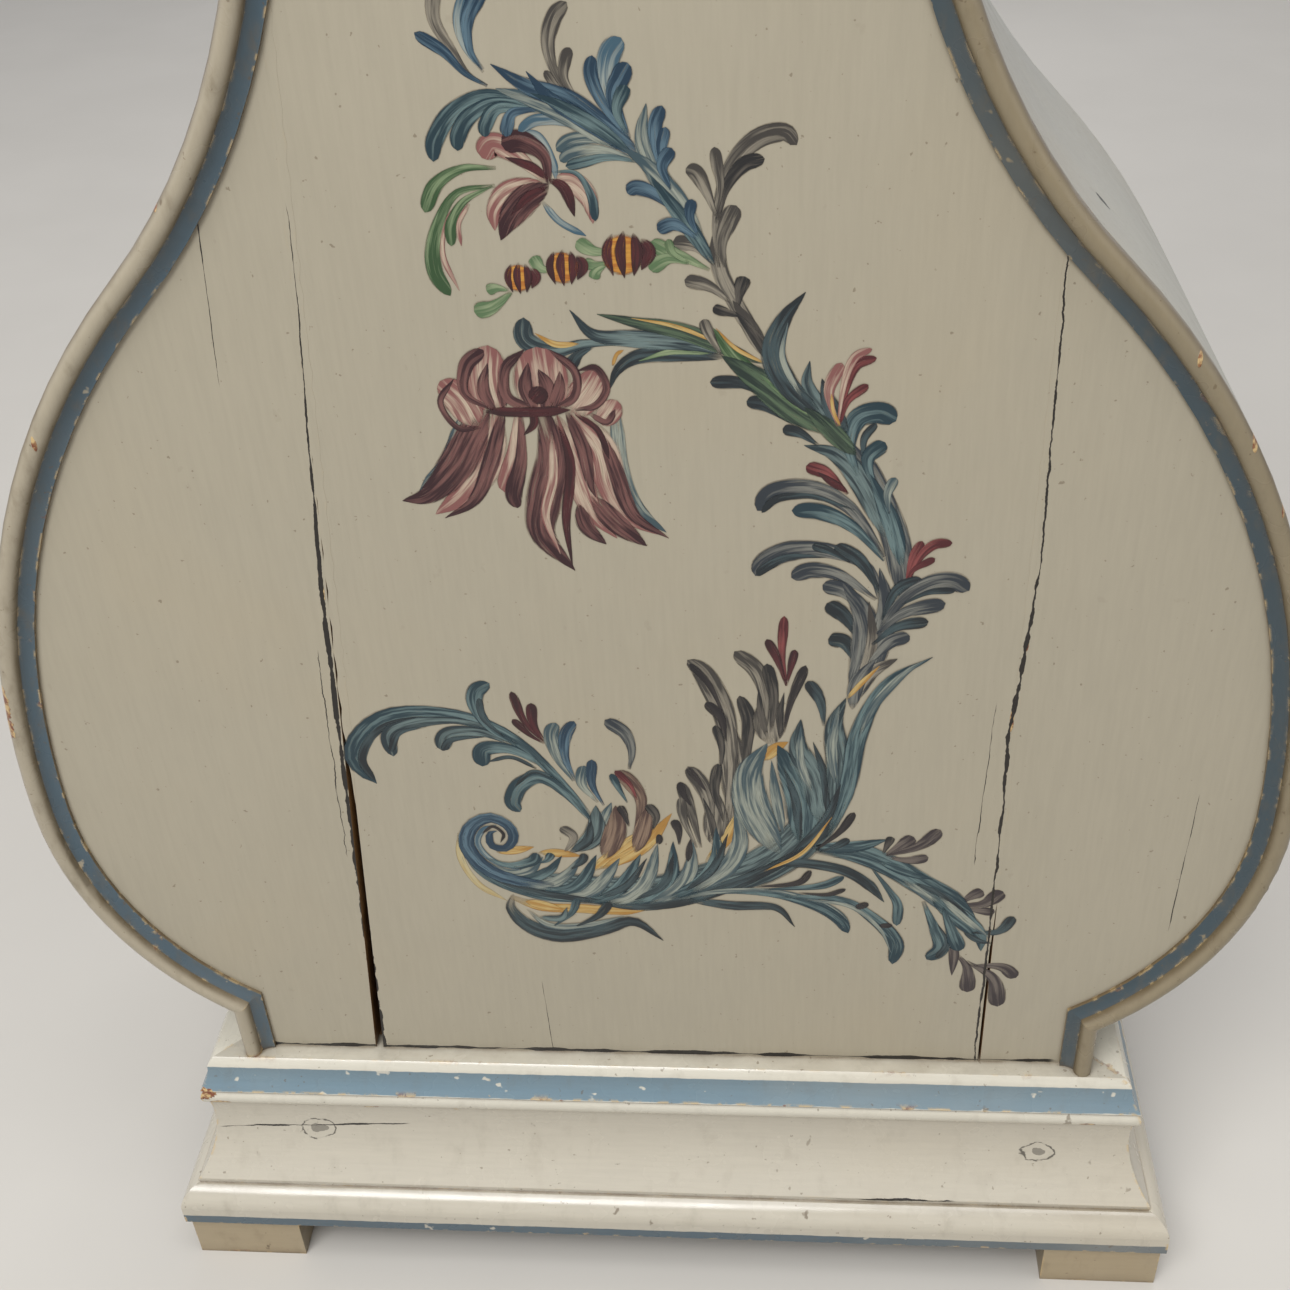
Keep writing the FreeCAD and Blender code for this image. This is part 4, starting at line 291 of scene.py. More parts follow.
def split(path, wobble=0.7, scale=26.0):
    """A ragged crack up the front along points of height, x and half width in mm."""
    foot, head = path[0][0] * MM, path[-1][0] * MM

    def follow(g, column):
        total = path[0][column] * MM
        for first, second in zip(path, path[1:]):
            inputs = {"Value": g.z, "From Min": first[0] * MM, "From Max": second[0] * MM,
                      "To Min": 0.0, "To Max": (second[column] - first[column]) * MM}
            total = g.plus(g.add("ShaderNodeMapRange", inputs).outputs[0], total)
        return total

    def mask(g):
        sway = g.swing(g.noise(scale, 5, UPRIGHT, roughness=0.7), 2 * wobble * MM)
        off = g.math("ABSOLUTE", g.minus(g.x, follow(g, 1), sway))
        width = g.times(follow(g, 2), g.patches(90, 3, 0.3, 0.62, 0.3, 1.15, UPRIGHT))
        return g.times(g.math("LESS_THAN", off, width), g.band(g.z, foot, head, 3 * MM))
    return mask


def level_crack(z, x_first, x_last, height, drop=0.0):
    """A ragged crack that runs across, such as along the foot of the panel."""
    def mask(g):
        share = g.math("DIVIDE", g.minus(g.x, x_first), x_last - x_first)
        shake = g.line(g.noise(40, 5, LEVEL, roughness=0.7), 3 * MM, z - 1.5 * MM)
        off = g.math("ABSOLUTE", g.minus(g.z, g.plus(g.times(share, drop), shake)))
        width = g.times(g.patches(25, 3, 0.35, 0.65, 0.1, 1.0, LEVEL, 3.0), height)
        return g.times(g.math("LESS_THAN", off, width), g.band(g.x, x_first, x_last, 3 * MM))
    return mask


def knot(x, z, size):
    """A knot that shows through the paint: a broken ring with a dark flake in it, all in mm."""
    flat, size = 1.35, size * MM

    def mask(g):
        away = g.math("SQRT", g.plus(g.gap(g.x, x * MM), g.gap(g.z, z * MM, 1 / flat)))
        reach = g.plus(away, g.swing(g.noise(95, 3, shift=x), 0.5 * size))
        rim = g.band(reach, 0.86 * size, 0.97 * size, 0.03 * size)
        core = g.times(g.math("LESS_THAN", reach, 0.35 * size), 0.55)
        return g.math("MAXIMUM", g.times(rim, g.patches(160, 2, 0.36, 0.5, 0.1, 0.8, shift=z)), core)
    return mask


def worm_hole(g):
    """A small hole on the outer face of the right side board."""
    depth, height, reach = -32 * MM, 624 * MM, 5.6 * MM
    away = g.math("SQRT", g.plus(g.gap(g.y, depth), g.gap(g.z, height)))
    ragged = g.plus(away, g.times(g.noise(210, 3), 5 * MM))
    return g.times(g.math("LESS_THAN", ragged, reach), g.math("GREATER_THAN", g.x, 0.0))


FRONT_SPLITS = (
    split(((148, -160.5, 2.2), (250, -155.0, 1.9), (338, -151.0, 1.3), (461, -143.0, 1.1), (540, -135.5, 0.5),
           (600, -129.3, 0.3), (648, -125.5, 0.12))),
    split(((148, 176.9, 0.7), (288, 177.3, 0.6), (349, 177.3, 0.8), (380, 176.2, 1.2), (439, 180.2, 1.1),
           (482, 182.0, 0.5), (560, 180.3, 0.5), (634, 178.6, 0.3)), 1.0, 40.0),
)
FRONT_CRACKS = FRONT_SPLITS + (
    split(((300, -157.5, 0.2), (360, -154.5, 0.3), (430, -150.5, 0.2)), 1.2, 50.0),
    split(((572, -169.0, 0.15), (655, -162.0, 0.3)), 0.4),
    split(((300, 166.0, 0.25), (400, 169.0, 0.15)), 0.8, 45.0),
    split(((255, 268.5, 0.25), (345, 270.0, 0.15)), 0.5),
    split(((148, -61.0, 0.2), (205, -62.5, 0.1)), 0.4),
    level_crack(plinth_top + 1.5 * MM, -0.235, 0.220, 1.8 * MM),
)
COVE_CRACKS = (
    level_crack(0.0935, -0.262, -0.150, 0.9 * MM, 6 * MM),
    level_crack(0.0600, 0.100, 0.168, 1.0 * MM, 1 * MM),
    knot(-203, 94.5, 10.5),
    knot(215, 91.0, 10.0),
)

# Places where bare wood shows: x, height, half width and half height in mm
BEAD_CHIPS = ((-312, 408, 6, 24), (-253, 549, 1.2, 4), (233, 582, 1.2, 4), (261, 544, 1.3, 4), (278, 511, 1.0, 3),
              (-176, 653, 1.2, 3), (96, 873, 1.2, 4))
PANEL_CHIPS = ((-142, 470, 0.8, 9), (180, 437, 1.0, 5), (177, 392, 0.9, 8), (-160, 165, 1.2, 7))
CAP_CHIPS = ((-271, 126, 12, 5), (-258, 118, 7, 2.5), (240, 119, 5, 1.2), (-96, 117, 9, 1.0), (60, 117, 7, 1.0))


# The other materials
def metal(name, colour, roughness, grain=(1, 1, 1), tarnish=0.5):
    g = Graph(name, roughness, 1.0)
    clouds, scratches = g.noise(35, 5), g.noise(900, 2, grain)
    paint = g.mix(g.step(clouds, 0.4, 0.7, 0.0, tarnish), colour, g.shade(g.mix(0.3, colour, DIRT_AND_SHADE), 0.55))
    g.set("Base Color", g.mix(g.times(g.recess(4 * MM), 0.6), paint, CRACK))
    uneven = g.plus(g.times(clouds, 0.6), g.times(scratches, 0.4))
    g.set("Roughness", g.step(uneven, 0.3, 0.7, roughness - 0.08, roughness + 0.18))
    g.bump(scratches, 0.08, 0.3 * MM)
    return g.material


def bare_wood(name, colour, dark, stretch):
    g = Graph(name, 0.72)
    rings, fibres = g.noise(38, 6, stretch, roughness=0.65), g.noise(520, 3, stretch)
    paint = g.shade(g.mix(g.step(rings, 0.35, 0.68), colour, dark), g.step(fibres, 0.3, 0.7, 0.86, 1.08))
    # Corners and hollows within 30 mm darken towards the dirt colour: painted shade.
    g.set("Base Color", g.mix(g.times(g.recess(30 * MM), 0.5), paint, DIRT_AND_SHADE))
    g.bump(fibres, 0.25)
    g.bump(rings, 0.15, 1 * MM)
    return g.material


def dial_white(name):
    g = Graph(name, 0.2, coat=0.2)
    paint = g.mix(g.patches(6, 5, 0.35, 0.75), (228, 223, 205), (214, 205, 180))
    crackle = g.add("ShaderNodeTexVoronoi", {"Vector": g.place, "Scale": 95.0}, feature="DISTANCE_TO_EDGE")
    lines = g.step(crackle.outputs["Distance"], 0.0, 0.012, 1.0, 0.0)
    lines = g.times(lines, g.patches(9, 3, 0.5, 0.7, 0.0, 0.45, shift=3.0))
    g.set("Base Color", g.mix(lines, paint, (120, 104, 78)))
    g.set("Roughness", g.patches(25, 3, 0.3, 0.7, 0.16, 0.3))
    g.bump(lines, 0.2, 0.2 * MM)
    return g.material


def dial_black(name):
    g = Graph(name, 0.38)
    g.set("Base Color", g.mix(g.patches(160, 4, 0.62, 0.74, 0.0, 0.6), (26, 24, 23), (104, 98, 86)))
    g.bump(g.noise(700, 2), 0.08, 0.2 * MM)
    return g.material


def clear_glass(name):
    g = Graph(name, 0.02)
    g.set("Transmission Weight", 1.0)
    g.set("IOR", 1.46)
    g.set("Base Color", (0.965, 0.985, 0.97, 1))
    g.bump(g.noise(9, 2), 0.04, 0.8 * MM)
    return g.material


def gut(name):
    g = Graph(name, 0.4)
    g.set("Subsurface Weight", 0.25)
    g.set("Subsurface Radius", (2 * MM, 1 * MM, 0.5 * MM))
    inputs = {"Vector": g.place, "Scale": 260.0, "Distortion": 0.6}
    twist = g.add("ShaderNodeTexWave", inputs, bands_direction="DIAGONAL").outputs["Fac"]
    g.set("Base Color", g.mix(twist, (190, 154, 92), (142, 104, 56)))
    g.bump(twist, 0.4, 0.3 * MM)
    return g.material


def studio_floor(name):
    g = Graph(name, 0.6)
    g.set("Base Color", g.mix(g.patches(1.6, 4, 0.3, 0.7), (196, 192, 185), (190, 186, 179)))
    g.bump(g.noise(140, 3), 0.03)
    return g.material


ALONG_X, ALONG_Y = (0.08, 1, 1), (1, 0.08, 1)
BASE_BAND = (("z", base_foot - 1 * MM, base_foot + 6.5 * MM, BLUE),)
# The cap's band takes the lighter blue: painted light.
CAP_BAND = (("z", cap_foot + 12.2 * MM, cap_foot + 27 * MM, PLINTH_BLUE_LIT),)
PLINTH_FRONT = dict(colour=PLINTH_IVORY, grain=ALONG_X, coat=0.5)
PLINTH_SIDE = dict(colour=PLINTH_IVORY, grain=ALONG_Y, coat=0.25, gloss=0.24)
BASE = dict(bands=BASE_BAND, dirt_and_shade=0.8, wear=0.9)
# The cap takes the lighter ivory: painted light.
CAP = dict(colour=CAP_IVORY_LIT, bands=CAP_BAND, dirt_and_shade=0.75, wear=0.8, chips=0.62)
BEAD = dict(grain=(1, 1, 0.3), dirt_and_shade=0.95, wear=0.9, gloss=0.30, chips=0.64, film_and_shade=0.95, coat=0.15, spots=BEAD_CHIPS)


def moulding(bead, hollow, front):
    """A bead and a blue hollow, told apart by how far they stand out from the board behind."""
    return dict(BEAD, colour=bead, bands=(("y", front - 4.7 * MM, front + 2 * MM, hollow),))


OILS = {
    "panel": dict(colour=PANEL, dirt_and_shade=0.35, wear=0.1, chips=0.8, cracks=FRONT_CRACKS, spots=PANEL_CHIPS, bare=True),
    "side": dict(colour=IVORY_SIDE, dirt_and_shade=0.5, wear=0.6, cracks=(worm_hole,), bare=True),
    "ivory": dict(colour=IVORY, grain=ALONG_X, dirt_and_shade=0.7, wear=0.7, gloss=0.3, film_and_shade=0.3),
    "base": dict(PLINTH_FRONT, **BASE, gloss=0.22, film_and_shade=0.4),
    "base_side": dict(PLINTH_SIDE, **BASE),
    "cove": dict(PLINTH_FRONT, dirt_and_shade=0.7, wear=0.6, gloss=0.22, film_and_shade=0.28, cracks=COVE_CRACKS),
    "cove_side": dict(PLINTH_SIDE, dirt_and_shade=0.6, wear=0.5),
    "cap": dict(PLINTH_FRONT, **CAP, gloss=0.24, film_and_shade=0.35, spots=CAP_CHIPS),
    "cap_side": dict(PLINTH_SIDE, **CAP),
    "edge": moulding(BEAD_IVORY, BLUE, panel_y),
    # The right moulding takes the darker bead and blue: painted shade.
    "edge_right_shaded": moulding(BEAD_SHADED, BLUE_SHADED, panel_y),
    "arch": moulding(BEAD_IVORY, BLUE, hood_y),
    "hood": dict(colour=PANEL, dirt_and_shade=0.5, wear=0.2, chips=0.8, bare=True, arch=dial_middle.z),
    "door": dict(colour=PANEL, dirt_and_shade=0.5, wear=0.2, chips=0.8),
    "foot": dict(colour=FOOT_IVORY, grain=(0.1, 1, 1), dirt_and_shade=0.9, wear=1.0, chips=0.6, film_and_shade=0.6),
}
materials = {finish: oil_paint(finish + "_oil", **settings) for finish, settings in OILS.items()}
materials.update({
    "pine_up": bare_wood("pine_up", PINE, PINE_DARK, (1, 1, 0.06)),
    "pine_across": bare_wood("pine_across", (152, 114, 72), (104, 70, 40), (0.06, 1, 1)),
    "brass": metal("aged_brass", (158, 122, 64), 0.36, tarnish=0.75),
    "wheel_brass": metal("wheel_brass", (188, 152, 86), 0.28, tarnish=0.3),
    "iron": metal("black_iron", (72, 66, 60), 0.55, tarnish=0.8),
    "steel": metal("worn_steel", (150, 150, 152), 0.3, (1, 1, 0.1), 0.4),
    "gilt": metal("gilt_brass", (196, 156, 80), 0.3, tarnish=0.35),
    "dial": dial_white("dial_white"),
    "numeral": dial_black("numeral_black"),
    "glass": clear_glass("clear_glass"),
    "line": gut("gut_line"),
})

finishes = {
    "panel": ("front_board_left", "front_board_centre", "front_board_right"),
    "side": ("side_board_left", "side_board_right", "lower_side_strips"),
    "base": ("base_moulding_front",),
    "base_side": ("base_moulding_sides",),
    "cove": ("plinth_cove_front",),
    "cove_side": ("plinth_cove_sides",),
    "cap": ("plinth_cap_front",),
    "cap_side": ("plinth_cap_sides",),
    "edge": ("edge_moulding_left",),
    "edge_right_shaded": ("edge_moulding_right",),
    "arch": ("hood_arch_moulding",),
    "ivory": ("neck_moulding", "hood_base_moulding", "crest"),
    "hood": ("hood_front", "hood_sides", "hood_canopy"),
    "door": ("trunk_door",),
    "foot": ("feet",),
    "pine_up": ("backboard", "cheeks"),
    "pine_across": ("plinth_deck", "seat_board"),
    "brass": ("escutcheon", "door_hinge_fixed", "door_hinge_moving", "bezel_ring", "bezel_hinge", "bezel_knob",
              "pendulum_bob", "rating_nut"),
    "wheel_brass": ("front_plate", "back_plate", "pillars", "back_cock", "barrel", "great_wheel", "centre_wheel",
                    "third_wheel", "escape_wheel", "cannon_wheel", "minute_wheel", "hour_wheel", "line_pulley"),
    "iron": ("weight", "pulley_block", "lock_case"),
    "steel": ("anchor", "pendulum_rod", "lock_bolt", "door_key"),
    "gilt": ("hour_hand", "minute_hand"),
    "dial": ("dial",),
    "glass": ("bezel_glass",),
    "line": ("weight_line",),
}
for finish, names in finishes.items():
    for name in names:
        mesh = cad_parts[name].data
        mesh.materials.clear()
        mesh.materials.append(materials[finish])


# New pieces
class Shape:
    """Points and faces gathered for one piece."""

    def __init__(self):
        self.points, self.faces = [], []

    def add(self, points, faces):
        start = len(self.points)
        self.points += points
        self.faces += [tuple(start + index for index in face) for face in faces]


def piece(name, shape, finish, body, smooth=False):
    """A mesh of the scene's own, riding on a body."""
    mesh = bpy.data.meshes.new(name)
    mesh.from_pydata([tuple(v) for v in shape.points], [], shape.faces)
    mesh.validate()
    mesh.polygons.foreach_set("use_smooth", [smooth] * len(mesh.polygons))
    mesh.materials.append(materials[finish])
    made = bpy.data.objects.new(name, mesh)
    bpy.context.scene.collection.objects.link(made)
    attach(made, body)
    return made


def ring(centre, first, second, sides):
    """Points round a circle spanned by two vectors."""
    turns = [2 * math.pi * index / sides for index in range(sides)]
    return [centre + math.cos(turn) * first + math.sin(turn) * second for turn in turns]


def skin(rings, sides):
    """The faces that join rings of points into a tube with closed ends."""
    faces = []
    for row in range(rings - 1):
        for side in range(sides):
            after = (side + 1) % sides
            faces.append((row * sides + side, row * sides + after, (row + 1) * sides + after, (row + 1) * sides + side))
    faces.append(tuple(reversed(range(sides))))
    faces.append(tuple((rings - 1) * sides + side for side in range(sides)))
    return faces


def tube(rings):
    """A shape that joins rings of points."""
    shape = Shape()
    shape.add([point for points in rings for point in points], skin(len(rings), len(rings[0])))
    return shape


# The weight's line: two strands, and the loop round its pulley
LINE_SIDES, STRAND_ROWS, LOOP_ROWS = 10, 40, 32
line_low, line_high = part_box("weight_line")
pulley_low, pulley_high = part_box("line_pulley")
line_radius = 1.0 * MM
line_deep = Vector((0, line_radius, 0))
line_y = (line_low.y + line_high.y) / 2
pulley_z = (pulley_low.z + pulley_high.z) / 2
left_x, right_x = line_low.x + line_radius, line_high.x - line_radius
seat_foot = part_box("seat_board")[0].z
for name, x, top in (("line_strand_drum", left_x, line_high.z), ("line_strand_seat", right_x, seat_foot)):
    levels = [pulley_z + (top - pulley_z) * row / STRAND_ROWS for row in range(STRAND_ROWS + 1)]
    rings = [ring(Vector((x, line_y, level)), Vector((line_radius, 0, 0)), line_deep, LINE_SIDES) for level in levels]
    strand = piece(name, tube(rings), "line", "case", smooth=True)
    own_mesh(strand)
    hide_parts("weight_line")
loop_middle = Vector(((left_x + right_x) / 2, line_y, pulley_z))
bend_radius = (right_x - left_x) / 2
rings = []
for row in range(LOOP_ROWS + 1):
    turn = math.pi * row / LOOP_ROWS
    outward = Vector((-math.cos(turn), 0, -math.sin(turn)))
    rings.append(ring(loop_middle + bend_radius * outward, line_radius * outward, line_deep, LINE_SIDES))
piece("line_loop", tube(rings), "line", "weight", smooth=True)


# Old filler in the upper part of the two joints of the front
JOINT_FOOT_X, JOINT_LEAN, JOINT_TOP = -160.0, 34.5, 645.0
RIGHT_JOINT_X = 178.7
FILLER_BACK, FILLER_FRONT = 1.2, -0.06


def left_joint(z):
    """The slanting left joint, in mm."""
    return JOINT_FOOT_X + JOINT_LEAN * (z - plinth_top / MM) / (JOINT_TOP - plinth_top / MM)


def filler(name, low, high, line, half):
    """A thin strip with ragged edges that lies over a joint, in mm."""
    rings, count = [], 60
    for index in range(count + 1):
        z = low + (high - low) * index / count
        taper = min(1.0, 8 * index / count)
        left = line(z) - half * taper * (1.0 + 0.25 * math.sin(index * 1.9)) - 0.05
        right = line(z) + half * taper * (1.0 + 0.25 * math.sin(index * 2.7 + 1)) + 0.05
        corners = ((left, FILLER_FRONT), (right, FILLER_FRONT), (right, FILLER_BACK), (left, FILLER_BACK))
        rings.append([(x * MM, panel_y + y * MM, z * MM) for x, y in corners])
    return piece(name, tube(rings), "panel", "case")


filler("joint_filler_left", 335, 749, left_joint, 2.0)
filler("joint_filler_right", 240, 634, lambda z: RIGHT_JOINT_X, 1.3)


# Hour numerals and minute ring, painted on the dial
GLYPHS = {"I": (7.5, ((0.5, 0.5, 1.9),)), "V": (15.0, ((0.5, 0.12, 1.9), (0.5, 0.88, 0.55))),
          "X": (14.0, ((0.88, 0.12, 1.9), (0.12, 0.88, 0.55)))}
HOURS = ("XII", "I", "II", "III", "IIII", "V", "VI", "VII", "VIII", "IX", "X", "XI")
NUMERAL_FOOT, NUMERAL_HEAD = 101.0, 126.0
MINUTE_RINGS = ((132.0, 132.7), (139.3, 140.0))
MARK_FOOT, MARK_HEAD = 132.4, 139.6
dial_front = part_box("dial")[0].y
ink_front, ink_back = dial_front - 0.12 * MM, dial_front + 0.05 * MM
top_ink = ink_front - 0.01 * MM


def prism(corners, front):
    """A flat bar of ink: corners counter-clockwise as seen from the front."""
    points = [(x, y, z) for y in (front, ink_back) for x, z in corners]
    count = len(corners)
    faces = [tuple(range(count)), tuple(reversed(range(count, 2 * count)))]
    for index in range(count):
        after = (index + 1) % count
        faces.append((after, index, count + index, count + after))
    return points, faces


def hoop(inner, outer, count=120):
    """A flat ring of ink round the middle of the dial, between two radii in mm."""
    points, faces = [], []
    for index in range(count):
        turn = 2 * math.pi * index / count
        for radius, y in ((inner, ink_front), (outer, ink_front), (outer, ink_back), (inner, ink_back)):
            across, upward = radius * MM * math.sin(turn), radius * MM * math.cos(turn)
            points.append((dial_middle.x + across, y, dial_middle.z + upward))
        here, after = 4 * index, 4 * ((index + 1) % count)
        for side in range(4):
            other = (side + 1) % 4
            faces.append((here + side, after + side, after + other, here + other))
    return points, faces


def bar_at(turn, first, second, half_first, half_second):
    """Corners of a bar between two places given as (sideways, outward) from the middle of the dial, in mm."""
    outward = Vector((math.sin(turn), math.cos(turn)))
    right = Vector((math.cos(turn), -math.sin(turn)))
    low, high = sorted((first, second), key=lambda place: place[1])
    places = ((low[0] - half_first, low[1]), (low[0] + half_first, low[1]),
              (high[0] + half_second, high[1]), (high[0] - half_second, high[1]))
    return [tuple(dial_middle.xz + (right * u + outward * v) * MM) for u, v in places]


numerals = Shape()
for hour, word in enumerate(HOURS):
    turn = math.radians(30 * hour)
    word_width = sum(GLYPHS[letter][0] for letter in word)
    place = -word_width / 2
    for letter in word:
        wide, strokes = GLYPHS[letter]
        for foot, head, half in strokes:
            feet, heads = (place + foot * wide, NUMERAL_FOOT), (place + head * wide, NUMERAL_HEAD)
            numerals.add(*prism(bar_at(turn, feet, heads, half, half), ink_front))
        place += wide
    half = word_width / 2 - 0.6
    for level in (NUMERAL_FOOT, NUMERAL_HEAD):
        numerals.add(*prism(bar_at(turn, (0, level - 0.4), (0, level + 0.4), half, half), top_ink))
piece("dial_numerals", numerals, "numeral", "case")
minutes = Shape()
for inner, outer in MINUTE_RINGS:
    minutes.add(*hoop(inner, outer))
for minute in range(60):
    half = 1.1 if minute % 5 == 0 else 0.35
    minutes.add(*prism(bar_at(math.radians(6 * minute), (0, MARK_FOOT), (0, MARK_HEAD), half, half), top_ink))
piece("dial_minute_ring", minutes, "numeral", "case")


# Screws of the door's hinges
leaf_front = panel_y - 1.15 * MM
screw_inset = 5 * MM


def screw_heads(name, x, heights, radius, rise, body):
    """Low domes that face forward, each with its rim just inside the leaf behind."""
    shape, rows, sides = Shape(), 5, 16
    for z in heights:
        points = []
        for row in range(rows):
            lean = math.pi / 2 * row / rows
            round_part = radius * math.cos(lean)
            middle = Vector((x, leaf_front - rise * math.sin(lean), z * MM))
            points += ring(middle, Vector((round_part, 0, 0)), Vector((0, 0, round_part)), sides)
        shape.add(points, skin(rows, sides))
    return piece(name, shape, "steel", body, smooth=True)


fixed_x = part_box("door_hinge_fixed")[1].x - screw_inset
moving_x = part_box("door_hinge_moving")[0].x + screw_inset
screw_heads("hinge_screws_fixed", fixed_x, (940, 980, 1270, 1310), 2.6 * MM, 1.0 * MM, "case")
screw_heads("hinge_screws_moving", moving_x, (956, 964, 1286, 1294), 2.0 * MM, 0.8 * MM, "door")


# The painted leaf work. Each stroke is a line of its group: its paint, its shape, its widest place in mm,
# and the line that the brush follows from root to tip, in mm across and up the front.
PAINTS = {
    "teal": ((111, 129, 127), (26, 43, 50)),
    "teal_dark": ((62, 80, 84), (18, 28, 34)),
    "teal_pale": ((158, 162, 148), (56, 76, 83)),
    "sea": ((106, 128, 128), (20, 48, 58)),
    "blue": ((90, 116, 130), (18, 48, 68)),
    "blue_pale": ((152, 160, 154), (58, 88, 104)),
    "slate": ((128, 128, 120), (38, 46, 54)),
    "grey": ((150, 142, 126), (58, 54, 50)),
    "grey_dark": ((90, 84, 76), (24, 24, 26)),
    "mauve": ((112, 102, 94), (48, 39, 42)),
    "green": ((134, 152, 114), (44, 74, 40)),
    "green_pale": ((148, 160, 124), (84, 110, 74)),
    "green_teal": ((88, 108, 82), (24, 42, 36)),
    "maroon": ((120, 80, 75), (44, 10, 20)),
    "pink": ((196, 178, 156), (130, 82, 78)),
    "wine": ((76, 24, 30), (42, 8, 16)),
    "red": ((138, 70, 68), (72, 16, 24)),
    "ochre": ((198, 172, 112), (166, 122, 54)),
    "straw": ((190, 178, 140), (176, 154, 104)),
    "orange": ((206, 152, 62), (168, 100, 34)),
    "brown": ((144, 120, 100), (74, 52, 46)),
    "dark": ((48, 42, 42), (22, 18, 22)),
}
